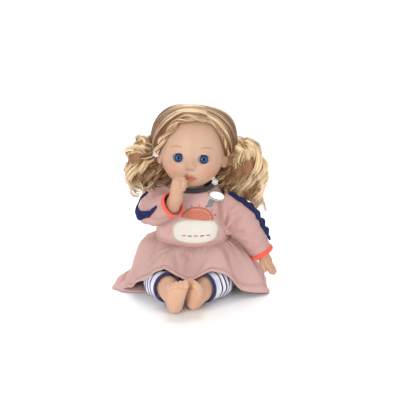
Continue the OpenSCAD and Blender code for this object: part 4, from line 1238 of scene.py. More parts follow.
# Dress: bodice, neckband, gathered skirt, and what is sewn on them
dress = {
    "waist": 71.5, "chest": 115, "shoulder": 130, "neckline": 151.0, "out": 2.7, "clothThickness": 1.8,
    "waistFlare": 5.0,
    "pink": (214, 176, 170), "shade": (182, 138, 131), "charcoal": (62, 64, 64), "navy": (40, 48, 98),
    "red": (244, 100, 78), "thread": (206, 150, 144),
    "ribHalf": 1.5, "ribOut": 1.2, "ribLean": 0.24, "gathers": 84, "gatherDepth": 1.5, "folds": 13,
    "foldDepth": 3.6, "spreadAt": -174.0, "valley": 11.0, "sleevePaintedShade": 0.4,
}
bodyHeights = (2, 24, 60, 92, 115, 130, 138, 143)
bodySections = (
    (43, 49, 50.5, 50, 47, 44, 35, 24), (33, 39, 44, 43, 38, 33, 28, 22), (31, 37, 40, 38, 34, 31, 27, 22)
)
necklineSections = (29.0, 26.0, 25.0)
hemPoints = [  # mm; on the floor at the sides and back, lifted over both legs
    (112, -6, 1), (100, 40, 1), (55, 72, 1), (0, 80, 1), (-55, 72, 1), (-100, 40, 1), (-114, -4, 1),
    (-119, -42, 1), (-106, -52.5, 1.5), (-97, -56, 5), (-87, -61, 11.5), (-77, -72, 20.6), (-58.7, -92, 37),
    (-48, -96, 45.5), (-37, -98, 53.2), (-29, -100, 54), (-10, -107, 47),
    (5, -110, 43), (22, -101, 47), (38, -91, 50.5), (60, -82, 38), (82, -70, 14), (116, -46, 1),
]
underfoldLines = (  # the edge of the turned-under hem, then where it ends below the skirt
    [(-112, -46), (-104, -57), (-90, -62), (-72, -61), (-57, -57), (-50, -42)],
    [(-104, -34), (-96, -36), (-86, -36), (-74, -36), (-62, -34), (-52, -30)],
)
# from and to: the way round the doll in radians and the share from waist to hem, then the depth in mm
skirtCreases = [
    ((-1.82, 0.34), (-1.68, 0.95), 4.5), ((-1.25, 0.45), (-1.5, 0.95), 4.0),
    ((-1.66, 0.18), (-1.5, 0.3), 3.6),
    ((-1.95, 0.3), (-2.32, 0.7), 3.0), ((-2.5, 0.05), (-2.3, 0.5), 3.0), ((-2.1, 0.04), (-1.9, 0.3), 2.4),
    ((-0.62, 0.05), (-0.86, 0.8), 3.4), ((-1.0, 0.04), (-1.22, 0.36), 2.6), ((-0.3, 0.05), (-0.42, 0.7), 3.0),
]


def dressLean(z):
    return 0.15 * np.clip((z - 112) / 34, 0, 1)


def dressSections(z):
    # half width, front depth and back depth of the dress at height z
    z, chestZ, top = np.asarray(z, float), dress["chest"], dress["shoulder"]
    flare = dress["waistFlare"] * np.clip((chestZ - z) / (chestZ - dress["waist"]), 0, None)
    flare += 12 * dressLean(z)
    found = []
    for table, collar in zip(bodySections, necklineSections):
        low = np.interp(z, bodyHeights, table) + flare
        shoulder = np.interp(top, bodyHeights, table) + 12 * dressLean(top)
        rise = np.clip((z - top) / (dress["neckline"] - top), 0, 1)
        slope = 0.45 * (1 - rise) + 0.55 * np.sqrt(1 - rise**2)
        found.append(np.where(z < top, low, collar + (shoulder - collar) * slope))
    return found


def bodicePoint(angle, z, off=0.0):
    wide, front, back = dressSections(z)
    y = np.where(np.sin(angle) < 0, front + off, back + off) * np.sin(angle)
    return np.stack([(wide + off) * np.cos(angle), y, z + dressLean(z) * y], axis=-1)


def bodiceCrease(points):
    # soft wrinkles: slack over the waist, pulls towards the armpits
    x, y, z = np.moveaxis(points, -1, 0)
    slack = ripple(points, 46, 3, (0.7, 0.7, 1.6)) * 1.3 * ease(128, 84, z)
    pulls = (
        2.0 * np.sin((z * 0.8 + np.abs(x) * 1.1) / 4.6) * bell((np.abs(x) - 46) / 11) * bell((z - 99) / 15)
    )
    return np.maximum(slack + pulls * (y < 10), -1.4) - 0.3 * bell((z - dress["waist"] - 1) / 1.6)


def onDress(x, z, off, back=False):
    # a point of the dress at x and z, off above the cloth
    x, z = np.broadcast_arrays(np.asarray(x, float), np.asarray(z, float))
    wide, front, behind = dressSections(z)
    out = dress["out"]
    deep = (behind if back else front) + out
    y = deep * np.sqrt(np.clip(1 - (x / (wide + out)) ** 2, 0, 1)) * (1 if back else -1)
    p = np.stack([x, y, z + dressLean(z) * y], axis=-1)
    way = unit(np.stack([x / (wide + out) ** 2, y / deep**2, np.where(z > 128, 0.006, 0.0)], axis=-1))
    return p + way * (off + bodiceCrease(p))[..., None]


def makeBodice(look):
    rows, columns = 84, 220
    z, angle = np.meshgrid(
        np.linspace(dress["waist"], dress["neckline"], rows), circle(columns), indexing="ij"
    )
    base = bodicePoint(angle, z, dress["out"])
    way = unit(base * (1, 1.25, 0))
    piece = addGrid("dressBodice", base + way * bodiceCrease(base)[..., None], look)
    thicken(piece, dress["clothThickness"])
    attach(piece, "torso")
    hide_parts("dress_bodice")
    half, (wide, front, back), turn = dress["ribHalf"], necklineSections, angle[0]
    profile = [
        (0.2, -half), (0.0, 0.0), (0.5, half), (2.0, 1.9), (4.2, 1.7), (5.8, 1.1), (6.6, 0.2), (6.4, -0.9),
        (4.0, -1.1),
    ]
    rings = []
    for rise, out in profile:
        deep = np.where(np.sin(turn) < 0, front, back) + out + dress["ribOut"] - dress["ribLean"] * rise
        x, y = (wide + out + dress["ribOut"] - dress["ribLean"] * rise) * np.cos(turn), deep * np.sin(turn)
        rings.append(np.stack([x, y, dress["neckline"] - 0.6 + rise + 0.15 * y], axis=-1))
    piece = addGrid(
        "neckRib", np.array(rings + rings[:1]), clothMaterial("charcoalRib", dress["charcoal"], 1500, 0.3)
    )
    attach(piece, "torso")
    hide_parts("neckband")
    print("bodice is sewn")


def skirtPoint(turn, t):
    # turn 0 to 1 round the hem, t 0 at the waist and 1 at the hem
    steps = 760
    loop = curveThrough(hemPoints, steps, closed=True)
    at = (np.asarray(turn) % 1.0) * steps
    i = at.astype(int) % steps
    h = loop[i] + (loop[(i + 1) % steps] - loop[i]) * (at - np.floor(at))[..., None]
    f = np.arctan2(h[..., 1] + 8, h[..., 0])
    w = bodicePoint(f, np.full(f.shape, dress["waist"] + 1.2), dress["out"] - 0.9)
    turned = np.degrees(np.where(f > math.pi / 2, f - 2 * math.pi, f))
    steep = np.exp(-np.square(turned - dress["spreadAt"]) / 700)
    a = w + (h - w) * (0.38 - 0.03 * np.cos(f) + 0.36 * steep)[..., None]
    b = w + (h - w) * (0.71 - 0.02 * np.cos(f) - 0.46 * steep)[..., None]
    low = dress["waist"] - 5 + (h[..., 2] - dress["waist"] + 5) * 0.33
    a[..., 2], b[..., 2] = dress["waist"] - 3 + 7 * steep, low - (12 + low) * steep
    t = np.asarray(t)[..., None]
    p = w * (1 - t) ** 3 + 3 * a * t * (1 - t) ** 2 + 3 * b * t**2 * (1 - t) + h * t**3
    way = unit(h * (1, 1, 0))
    t = t[..., 0]
    wave = 2 * math.pi * turn
    front = 0.5 + 0.5 * bell((f + math.pi / 2) / 0.6)
    gather = (
        dress["gatherDepth"] * np.sin(dress["gathers"] * wave + 1.7 * np.sin(9 * wave)) * t / 0.07
        * np.exp(1 - t / 0.07) * front
    )
    lap = bell((f + 1.5) / 0.62)  # the front, over the thighs
    fold = (
        dress["foldDepth"] * t * np.sin(dress["folds"] * wave + 0.6 * np.sin(3 * wave)) * (1 - 0.35 * t)
        * (1 - 0.6 * lap)
    )
    fold += (
        1.3 * (1 - 0.7 * lap) * np.sin(29 * wave + 2 * np.sin(4 * wave)) * (t * (1 - t) * 3) ** 1.5
        * (1 - 0.5 * np.cos(5 * wave))
    )
    way = unit(way + np.array([0, 0, 0.8]))
    p = p + way * (gather + fold + 0.5 * bell((t - 0.08) / 0.06))[..., None]
    dip = bell((f + 1.5) / 0.22) - 0.45 * (bell((f + 2.0) / 0.24) + bell((f + 1.0) / 0.24))
    p[..., 2] -= dress["valley"] * dip * np.sin(math.pi * t) ** 1.2  # between the thighs and over them
    for start, end, depth in skirtCreases:
        run = np.array(end) - start
        share = np.clip(((f - start[0]) * run[0] + (t - start[1]) * run[1]) / (run @ run), 0, 1)
        away = np.hypot(f - start[0] - share * run[0], 0.8 * (t - start[1] - share * run[1]))
        p -= way * (depth * bell(away / 0.06) * np.sin(math.pi * (0.1 + 0.85 * share)))[..., None]
    p[..., 2] = np.maximum(p[..., 2], 1.4)
    return p


def makeSkirt(look):
    rows, columns = 56, 504
    t, turn = np.meshgrid(
        np.linspace(0, 1, rows) ** 1.15, np.linspace(0, 1, columns, endpoint=False), indexing="ij"
    )
    outside = skirtPoint(turn, t)
    piece = addGrid("dressSkirt", outside[::-1], look)
    thicken(piece, dress["clothThickness"])
    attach(piece, "torso")
    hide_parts("dress_skirt")
    rail = [curveThrough([p + (0.0,) for p in line], 40) for line in underfoldLines]
    rings = []
    for k in np.linspace(0, 1, 12):
        row = rail[0] + (rail[1] - rail[0]) * k
        row[:, 2] = 1.6 + 1.4 * np.sin(row[:, 0] / 7) ** 2 * (0.4 + k) + 3.5 * k
        rings.append(row)
    underfold = addGrid("skirtUnderfold", np.array(rings)[::-1], look, around=False)
    thicken(underfold, dress["clothThickness"] * 0.8)
    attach(underfold, "torso")
    print("skirt is gathered")


def stitchParts(path, step=3.6, length=2.3, radius=0.32):
    # separate stitches along a line
    path = evenly(path, max(8, int(np.linalg.norm(np.diff(path, axis=0), axis=1).sum() / 0.6)))
    run = runOf(path)
    at = lambda d: np.array([np.interp(d, run, path[:, k]) for k in range(3)])
    starts = np.arange(0, run[-1] - length, step)
    return [capsuleMesh(at(d), at(min(d + length, run[-1])), radius, radius, 6, 3) for d in starts]


def makeDressStitches():
    thread = threadMaterial("pinkThread", dress["thread"])
    parts = []
    ring = np.linspace(0, 2 * math.pi, 260)
    for lift, out in ((3.2, 0.35), (5.6, 0.35)):
        z = np.full(ring.shape, dress["waist"] + lift)
        base = bodicePoint(ring, z, dress["out"])
        parts += stitchParts(base + unit(base * (1, 1.25, 0)) * (bodiceCrease(base) + out)[:, None])
    turn = np.linspace(0, 1, 500)
    for share in (0.9, 0.925):
        near = skirtPoint(turn, np.full(500, share))
        parts += stitchParts(near + unit(near * (1, 1, 0)) * (0.3, 0.3, 0) + (0, 0, 0.35))
    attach(addPiece("dressStitches", *joinedMesh(parts), thread), "torso")


# Shapes sewn on the chest: a pale cloud, half a sun with rays, a loop tab and a bare oval badge
chest = {
    "cloud": (7.0, 93.0, 33.0, 16.0), "sun": (9.8, 110.8, 23.0), "sunRise": 0.9, "sunTurn": -7.0,
    "cream": (230, 226, 216), "rust": (200, 122, 98), "redDash": (226, 92, 76), "blueDash": (70, 78, 160),
    "tab": (28.5, 134.5), "tabHalf": (3.6, 5.6), "tapeGrey": (134, 138, 138), "fastener": (0, 108, 9, 32),
    "badgeWhite": (250, 250, 250), "badgeRim": (66, 64, 74), "paleThread": (236, 214, 200),
    "badge": (38.0, -22.5, 142.5), "badgeHalf": (12.6, 7.2), "badgeTurn": -19.0,
    "badgeFacing": (0.2, -0.74, 0.64),
}


def dressPlate(name, outline, look, thickness=1.0, off=0.35, rings=9, back=False):
    # a thin felt shape on the dress from its outline in x and z
    outline = np.asarray(outline, float)
    middle = outline.mean(0)
    rows = []
    for k in np.linspace(0.02, 1, rings):
        lift = off + thickness * (1 - 0.55 * ease(0.93, 1.0, k))
        rows.append(dressLine(middle + (outline - middle) * k, lift, back))
    rows = np.array(rows + [dressLine(outline, off * 0.2, back)])
    order = rows[:, ::-1] if back else rows
    area = (
        0.5 * np.sum(outline[:, 0] * np.roll(outline[:, 1], -1) - np.roll(outline[:, 0], -1) * outline[:, 1])
    )
    if area < 0:
        order = order[:, ::-1]
    return addGrid(name, order, look)


def ovalOutline(x, z, wide, tall, turn=0.0, power=2.0, count=80):
    a = circle(count)
    u = wide * np.sign(np.cos(a)) * np.abs(np.cos(a)) ** (2 / power)
    v = tall * np.sign(np.sin(a)) * np.abs(np.sin(a)) ** (2 / power)
    c, s = math.cos(math.radians(turn)), math.sin(math.radians(turn))
    return np.stack([x + u * c - v * s, z + u * s + v * c], axis=1)


def dressLine(points, off, back=False):
    points = np.asarray(points, float)
    return onDress(points[:, 0], points[:, 1], off, back)


def badgeRing(share, off, count=80):
    # one ring of a gently domed oval laid over the front of the shoulder
    facing = unit(chest["badgeFacing"])
    across = unit(np.cross((0, 0, 1), facing))
    flat = ovalOutline(0, 0, *(half * share for half in chest["badgeHalf"]), chest["badgeTurn"], count=count)
    u, v = flat[:, :1], flat[:, 1:]
    return (
        np.array(chest["badge"]) + across * u + np.cross(facing, across) * v
        + facing * (off - (u**2 + 1.3 * v**2) / 80)
    )


def makeChest():
    felt = lambda name, colour: clothMaterial(name, colour, 700, 0.9, cloud=0.05)
    x, z, wide, tall = chest["cloud"]
    outline = ovalOutline(x, z, wide, tall, 0, 3.2, 120)
    a = circle(120)
    outline[:, 1] += 1.5 * np.abs(np.sin(2.5 * a)) * (np.sin(a) > 0)
    pieces = [dressPlate("chestCloud", outline, felt("creamFelt", chest["cream"]), 1.2)]
    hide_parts("chest_patch")
    sx, sz, sr = chest["sun"]
    arc = np.linspace(0, math.pi, 50)
    curved = np.stack([sr * np.cos(arc), chest["sunRise"] * sr * np.sin(arc)], axis=1)
    half = np.concatenate([curved, np.stack([np.linspace(-sr, sr, 20)[1:-1], np.zeros(18)], axis=1)])
    c, s = math.cos(math.radians(chest["sunTurn"])), math.sin(math.radians(chest["sunTurn"]))
    turned = np.stack([sx + half[:, 0] * c - half[:, 1] * s, sz + half[:, 0] * s + half[:, 1] * c], axis=1)
    pieces.append(dressPlate("chestSun", turned, felt("rustFelt", chest["rust"]), 1.0))
    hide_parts("patch_motif")
    tx, tz = chest["tab"]
    tape = clothMaterial("greyTape", chest["tapeGrey"], 1600, 0.2)
    pieces.append(dressPlate("loopTab", ovalOutline(tx, tz, *chest["tabHalf"], -14, 5), tape, 1.6))
    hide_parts("fabric_tab")
    rows = (
        [badgeRing(k, 1.4 - 0.7 * ease(0.93, 1.0, k)) for k in np.linspace(0.02, 1, 10)]
        + [badgeRing(1.0, -1.2)]
    )
    blank = mouldedMaterial("whitePrint", chest["badgeWhite"], roughness=0.45, cloud=0.02)
    pieces.append(addGrid("ovalBadge", np.array(rows), blank))
    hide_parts("badge")
    tape = clothMaterial("pinkTape", dress["pink"], 1500, 0.4)
    pieces.append(dressPlate("backFastener", ovalOutline(*chest["fastener"], 0, 6), tape, 1.0, back=True))
    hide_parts("back_fastener")
    reds, blues, pales = [], [], []
    for k in range(7):
        ray = math.radians(18 + 24 * k + chest["sunTurn"])
        line = [
            (sx + r * math.cos(ray), sz + chest["sunRise"] * r * math.sin(ray)) for r in (sr + 1.8, sr + 4.0)
        ]
        (reds if k % 2 else blues).append(capsuleMesh(*dressLine(line, 0.7), 0.75, 0.6, 8, 4))
    for k in range(5):
        dash = [(x - 17 + 8.5 * k, z - 4.6), (x - 13 + 8.5 * k, z - 4.2)]
        (blues if k % 2 else reds).append(capsuleMesh(*dressLine(dash, 2.0), 0.8, 0.8, 8, 4))
    pales += stitchParts(dressLine(ovalOutline(x, z, wide - 2, tall - 2, 0, 3.2, 120), 1.65), 2.6, 1.7, 0.25)
    inner = np.array([(sx + 0.82 * r[0], sz + 0.82 * r[1]) for r in (turned - (sx, sz))])[:50]
    pales += stitchParts(dressLine(inner, 1.5), 2.6, 1.7, 0.25)
    rim = badgeRing(0.95, 1.3)
    rim = np.concatenate([rim, rim[:1]])
    darkEdge = tubeRings(rim, np.full(len(rim), 0.55), (0.3, 0.2, 1), 6)
    pieces.append(addPiece("chestDashes", *joinedMesh(reds), threadMaterial("redThread", chest["redDash"])))
    pieces.append(addPiece("chestDots", *joinedMesh(blues), threadMaterial("blueThread", chest["blueDash"])))
    pieces.append(
        addPiece("chestStitches", *joinedMesh(pales), threadMaterial("paleThread", chest["paleThread"]))
    )
    darkThread = threadMaterial("darkThread", chest["badgeRim"])
    pieces.append(addPiece("badgeEdge", darkEdge.reshape(-1, 3), gridFaces(len(rim), 6), darkThread))
    for piece in pieces:
        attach(piece, "torso")
    print("chest shapes are sewn on")


def dressPattern(tree, paintedShade=0.0):
    # a cloud of darker pink, as dye leaves it; the given share adds more of it everywhere, a painted shade
    cloudy = between(tree, noise(tree, objectPlace(tree), 14.0, 2.0), 0.3, 0.7, paintedShade, paintedShade + 0.16)
    return mixed(tree, cloudy, paint(*dress["pink"]), paint(*dress["shade"]))


sweatCloth = clothMaterial(
    "pinkSweatCloth", dress["pink"], 850, 0.6, cloud=0.05, sheen=0.1, pattern=dressPattern
)
# the sleeves' cloth is the same pink with more of the darker colour mixed in, a painted shade on the sleeves
sleeveClothPaintedShade = clothMaterial(
    "pinkSleeveClothPaintedShade", dress["pink"], 850, 0.6, cloud=0.05, sheen=0.06,
    pattern=lambda tree: dressPattern(tree, dress["sleevePaintedShade"])
)
makeBodice(sweatCloth)
makeSkirt(sweatCloth)
makeDressStitches()
makeChest()


# Arms: vinyl hands and forearms, sleeves with their cuffs and wavy trims
arms = {
    "shoulder": ((-33.5, -19, 117), (33.5, -19, 117)), "cuffRing": (18.3, 17.2), "cuffLength": (0.7, 0.92),
    "trimWave": 15.0, "trimLift": 1.5, "trimNavy": (30, 36, 84),
    "trimShape": {"right": (0.92, 0.1), "left": (0.72, 0.46)}, "seamOut": 3.0, "blendReach": 26,
    "skin": (190, 149, 123),
    "cuffPlace": ((-24, -64, 139), (104.5, -21, 57.5)),
    "cuffWay": ((0.69, -0.47, 0.55), (0.53, -0.02, -0.85)),
}
handBones = {
    "right": [
        ((-52, -45, 120), (-24, -63, 137), 12.0, 11.6), ((-24, -63, 137), (-17, -70, 152), 11.4, 10.2),
        ((-17, -70, 152), (-15.5, -72, 165), 9.8, 9.6),
        ((-15.5, -72, 165), (-14, -73, 176), 9.8, 8.6), ((-16, -72, 177), (-12, -74, 180), 6.5, 5.5),
        ((-11, -76, 182.5), (-6.5, -80.5, 183), 3.6, 3.5),
        ((-6.5, -80.5, 183), (-4.6, -76.5, 181.5), 3.4, 3.0),
        ((-10, -78, 177.6), (-4.0, -82.5, 178.4), 3.7, 3.6),
        ((-4.0, -82.5, 178.4), (-2.0, -77, 177.6), 3.5, 3.1),
        ((-10, -78, 172.2), (-4.4, -82.5, 172.8), 3.7, 3.5),
        ((-4.4, -82.5, 172.8), (-2.4, -77, 172.4), 3.4, 3.1),
        ((-11, -77.5, 167.0), (-6.6, -81, 167.4), 3.5, 3.2),
        ((-6.6, -81, 167.4), (-4.6, -77, 167.2), 3.1, 2.8),
        ((-19, -72, 174), (-14, -70, 182.5), 4.4, 3.9), ((-14, -70, 182.5), (-7.5, -66, 184.5), 3.7, 3.2),
    ],
    "left": [
        ((88, -20, 82), (104, -21, 58), 12.0, 11.0), ((104, -21, 58), (107.5, -21.5, 50), 10.6, 9.6),
        ((107.5, -21.5, 50), (112.5, -22, 42.5), 9.6, 9.0),
        ((110, -27, 44), (114.5, -28.5, 37), 6.2, 5.2), ((111, -17, 44), (116, -16, 38), 6.2, 5.2),
        ((114.5, -28.5, 37), (120.0, -29.0, 27.8), 4.6, 3.7),
        ((116, -24.2, 36), (123.2, -24.4, 25.6), 4.7, 3.8),
        ((117, -19.6, 36.5), (124.6, -19.8, 26.4), 4.6, 3.7),
        ((116.5, -15.4, 38), (123.2, -15.4, 29.4), 4.2, 3.3),
        ((106, -28, 46), (107, -33, 38.5), 4.8, 4.2), ((107, -33, 38.5), (110.5, -35, 32.5), 4.2, 3.5),
    ],
}
sleeveBones = {
    "right": [
        ((-37, -17, 131), (-50, -30, 126.5), 23.2, 23.2), ((-50, -30, 126.5), (-54.5, -42, 122), 23.2, 21.5),
        ((-54.5, -42, 122), (-40, -53, 129), 21.5, 20.0),
        ((-40, -53, 129), (-24, -64, 139), 20.0, 17.4), ((-24, -64, 139), (-15, -70, 146), 17.2, 17.0),
    ],
    "left": [
        ((51, -13, 117), (60, -15, 113), 28.5, 28.0), ((50, -16, 99), (80, -19, 88), 17.0, 16.0),
        ((60, -15, 113), (73, -18, 106), 28.0, 25.0), ((73, -18, 106), (86, -20, 88), 25.0, 21.0),
        ((86, -20, 88), (104.5, -21, 57.5), 21.0, 16.4), ((104.5, -21, 57.5), (109, -21, 50), 16.4, 16.0),
    ],
}
# where a sleeve meets the bodice, which way is out, how much of its end is kept, and its depth there
armholes = {
    "right": ((-40, -18, 130), (-0.75, -0.6, -0.05), 0.5, 0.85),
    "left": ((51, -13, 117), (1.0, 0.0, -0.1), 0.42, 0.62),
}
trimEdges = {  # the sewn edge of each trim, then its wavy edge
    "right": (
        [
            (-62.5, -34.5, 149), (-71, -40.5, 138), (-73.5, -50, 130), (-71, -56, 127), (-66, -62, 128),
            (-58.6, -64.6, 129), (-50.7, -68.8, 133.6), (-43, -70, 138.2),
        ],
        [
            (-64.5, -31, 149), (-73, -37, 138), (-79, -44, 128), (-79.5, -47, 118), (-69, -57, 114),
            (-57, -65, 121), (-49, -71.8, 129.5), (-42.5, -70.5, 137),
        ],
    ),
    "left": (
        [
            (54, -19, 144.5), (69, -24.7, 136), (84, -27, 125), (94.4, -26, 111), (102, -26, 96.5),
            (110, -20, 81), (115, -17, 73),
        ],
        [
            (56.6, -14.6, 146), (72, -15, 139), (88, -13, 128), (98.5, -16, 118), (107, -16, 104),
            (115.5, -16, 85), (117.5, -16.5, 74),
        ],
    ),
}
sleeveFolds = {  # sharp creases on the front of a sleeve: from and to across and up, then the depth
    "right": [((-60, 118), (-44, 112), 1.6), ((-66, 132), (-50, 128), 1.2)],
    "left": [
        ((45.5, 105), (61, 87), 3.2), ((53, 91), (70, 103.5), 2.6), ((60, 118), (77, 128), 2.2),
        ((56, 83), (83, 77.5), 2.2),
        ((50, 98), (57, 116), 2.2), ((70, 92), (92, 84), 1.6), ((84, 72), (100, 76), 1.4),
    ],
}
elbows = {"right": (-55.5, -42, 120), "left": (80, -19, 97)}
armpits = {"right": (-40, -40, 104), "left": (50, -30, 88)}
sleeveSkins = {}  # the sleeves' outsides, which the trims are laid on


def flattenArmhole(points, side):
    # the end of the sleeve closes against the bodice and is taller than it is deep
    place, way, kept, depth = armholes[side]
    place, way = np.asarray(place, float), unit(way)
    across = unit(np.cross(way, (0, 0, 1)))
    d = (points - place) @ way
    points = points - np.minimum(d, 0)[:, None] * way * (1 - kept)
    squash = (1 - depth) * ease(34, -4, d)
    return points - ((points - place) @ across * squash)[:, None] * across


def sleeveCrease(points, side):
    # rings of slack at the elbow and pulls that spread from the armpit
    elbow = np.asarray(elbows[side], float)
    cuff = ofSide(arms["cuffPlace"], side)
    along = (points - elbow) @ unit(cuff - elbow)
    near = bell(along / 20) + 0.6 * bell((along - 28) / 12)
    rings = (2 * np.abs(np.sin(along / 5.4 + 1.3 * ripple(points, 44, 5))) ** 0.8 - 1) * near
    armpit = points - np.asarray(armpits[side], float)
    spread = np.arctan2(armpit[:, 2], np.hypot(armpit[:, 0], armpit[:, 1] * 0.5))
    pulls = (
        (2 * np.abs(np.sin(4.6 * spread + 0.8 * ripple(points, 50, 7))) ** 0.8 - 1)
        * bell((np.linalg.norm(armpit, axis=1) - 26) / 22)
    )
    form = (1.0 if side == "left" else 0.7) * rings + 2.2 * pulls + 1.1 * ripple(points, 44, 8)
    for start, end, depth in sleeveFolds[side]:
        flat, run = points[:, (0, 2)] - start, np.subtract(end, start)
        share = np.clip(flat @ run / (run @ run), 0, 1)
        away = np.linalg.norm(flat - share[:, None] * run, axis=1)
        groove = bell(away / 2.4) - 0.55 * bell((away - 5.4) / 2.8)
        form -= depth * groove * np.sin(math.pi * (0.08 + 0.84 * share)) * ease(-14, -24, points[:, 1])
    return form


def blendAtShoulder(piece):
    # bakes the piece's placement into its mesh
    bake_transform(piece)


def makeSleeve(side, look):
    place, way = ofSide(arms["cuffPlace"], side), unit(ofSide(arms["cuffWay"], side))
    piece = softForm(side + "Sleeve", sleeveBones[side], look, 1.5, 10)
    setVerts(piece, flattenArmhole(vertsOf(piece), side))
    points = vertsOf(piece)
    setVerts(piece, points + normalsOf(piece) * sleeveCrease(points, side)[:, None])
    cutBeyond(piece, place - way * 1.5, way)
    sleeveSkins[side] = BVHTree.FromPolygons(
        vertsOf(piece).tolist(), [tuple(f.vertices) for f in piece.data.polygons]
    )
    applied(thicken(piece, dress["clothThickness"]))
    blendAtShoulder(piece)
    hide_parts(side + "_sleeve")


def makeArmholeSeam(side, look):
    # the sewn line where a sleeve meets the bodice
    place, way, _, _ = armholes[side]
    way = unit(way)
    across = unit(np.cross(way, (0, 0, 1)))
    middle = np.asarray(place, float) + way * arms["seamOut"]
    ring = []
    for a in np.linspace(0, 2 * math.pi, 120):
        ray = math.cos(a) * across + math.sin(a) * np.cross(way, across)
        hit = sleeveSkins[side].ray_cast(Vector(middle), Vector(ray))[0]
        ring.append(np.array(hit) if hit else ring[-1])
    ring = np.array(ring)
    relax(ring, 3)
    piece = addPiece(side + "ArmholeSeam", *joinedMesh(stitchParts(ring, 2.4, 1.7, 0.4)), look)
    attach(piece, "torso")


def makeCuff(side, look):
    place, way = ofSide(arms["cuffPlace"], side), unit(ofSide(arms["cuffWay"], side))
    angle = circle(96)
    ring, r = ringWays(way, angle), ofSide(arms["cuffRing"], side)
    profile = [
        (-2.6, -0.8), (-2.0, 0.2), (-0.4, 0.9), (1.6, 1.2), (3.8, 0.9), (5.2, 0.0), (5.7, -1.3), (5.0, -2.6),
        (2.0, -3.4), (-4.0, -3.6), (-14.0, -3.4),
    ]
    ribs = 0.22 * np.cos(angle * 48)
    long = ofSide(arms["cuffLength"], side)
    rows = [
        place + way * lift * long + ring * (r + out * long + ribs * (out > -0.4))[:, None]
        for lift, out in profile
    ]
    piece = addGrid(side + "Cuff", np.array(rows), look)
    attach(piece, side + "_arm")
    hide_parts(side + "_cuff")


def clearOf(skin, point, gap):
    # the point itself, or the nearest place that stands gap off the skin
    near, normal, _, _ = skin.find_nearest(Vector(point))
    near, normal = np.array(near), np.array(normal)
    return near + normal * max(float((point - near) @ normal), gap)


def makeTrim(side, look):
    # a felt band along the sleeve's outer seam: one edge sewn down, the other wavy and loose
    sleeve = sleeveSkins[side]
    sewn, loose = (evenly(curveThrough(edge, 300), 200) for edge in trimEdges[side])
    run = runOf(sewn)
    even, swell = arms["trimShape"][side]
    wave = even + swell * np.abs(np.sin(math.pi * run / arms["trimWave"]))
    rows = []
    for k in np.linspace(0, 1, 12):
        row = sewn + (loose - sewn) * (k * wave)[:, None]
        for smoothing in (8, 2, 0):
            row = np.array([clearOf(sleeve, p, arms["trimLift"] * (1 + 0.5 * k)) for p in row])
            relax(row, smoothing)
        rows.append(row)
    piece = addGrid(side + "Trim", np.array(rows), look, around=False)
    applied(thicken(piece, 2.0, 0.0))
    blendAtShoulder(piece)
    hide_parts(side + "_trim")


def makeArms():
    vinyl = vinylMaterial("armVinyl", arms["skin"])
    ribbed = clothMaterial("redRib", dress["red"], 1500, 0.3, sheen=0.2)
    felt = clothMaterial("navyFelt", arms["trimNavy"], 800, 0.9, sheen=0.03)
    for side, _ in sides:
        piece = softForm(side + "Arm", handBones[side], vinyl, 0.6, 3)
        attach(piece, side + "_arm")
        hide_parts(side + "_arm")
        makeSleeve(side, sleeveClothPaintedShade)
        makeArmholeSeam(side, bpy.data.materials["pinkThread"])
        makeCuff(side, ribbed)
        makeTrim(side, felt)
    print("arms and sleeves are on")


# Legs: bare vinyl feet, striped leggings with a navy ring
legs = {
    "hip": ((-34, -25, 24), (34, -25, 24)), "knee": ((-47, -68, 24), (47, -63, 24)),
    "ring": ((-26, -102, 27.5), (25, -92, 25.5)),
    "ankle": ((-13.5, -126, 19), (17, -112, 18)), "heel": ((-12.8, -131, 12), (12.5, -115.5, 12)),
    "ball": ((-8.5, -139, 39), (15, -126, 36)),
    "across": ((1, 0.1, 0.05), (-0.72, 0.69, 0.05)), "radius": 19.5, "toeSpread": (1.0, 0.86),
    # across, up, radius
    "toes": ((10.6, 11.0, 5.2), (3.6, 11.6, 3.9), (-2.4, 10.8, 3.7), (-7.6, 9.0, 3.5), (-12.2, 6.4, 3.2)),
    "stripe": 6.4, "stripeWidth": 0.2, "band": 11.0, "white": (238, 236, 244), "lilac": (206, 198, 220),
    "skin": (204, 161, 134),
    "hemProfile": [  # along the leg and out from it
        (-2.6, 0.2), (-2.4, 0.9), (-1.0, 1.3), (0.8, 1.3), (2.0, 0.9), (2.5, 0.0), (2.2, -1.8), (0.0, -2.2),
        (-2.2, -1.8), (-2.6, 0.2),
    ],
}


def legPlaces(side, *names):
    return [ofSide(legs[name], side) for name in names]


def legBones(side):
    knee, ring, ankle, heel, ball = legPlaces(side, "knee", "ring", "ankle", "heel", "ball")
    across = unit(ofSide(legs["across"], side))
    up = unit(ball - heel)
    start = knee + unit(ring - knee) * 4
    mid = ring + (ankle - ring) * 0.45
    bones = [
        (start, ring, 17.8, 17.2), (ring, mid, 17.2, 15.6), (mid, ankle, 15.6, 12.8),
        (ankle, heel, 12.6, 11.6),
    ]
    bones += [
        (heel, ball + across * w, 11.4, r) for w, r in ((-8.0, 7.0), (-3.5, 8.4), (1.0, 8.6), (6.0, 8.8))
    ]
    bones += [(ankle, ball, 12.0, 7.6)]
    forward = unit(np.cross(across, up))
    if forward[1] > 0:
        forward = -forward
    for aside, lift, r in legs["toes"]:
        tip = ball + up * lift + across * aside * ofSide(legs["toeSpread"], side)
        bones += [(tip - up * 8, tip, r * 0.9, r * 0.94), (tip, tip + forward * 4.6 - up * 0.8, r * 0.94, r)]
    return bones


def legLine(side):
    hip, knee, ring = legPlaces(side, "hip", "knee", "ring")
    return evenly(curveThrough([hip, hip + (knee - hip) * 0.6, knee + unit(ring - knee) * 4, ring], 120), 160)


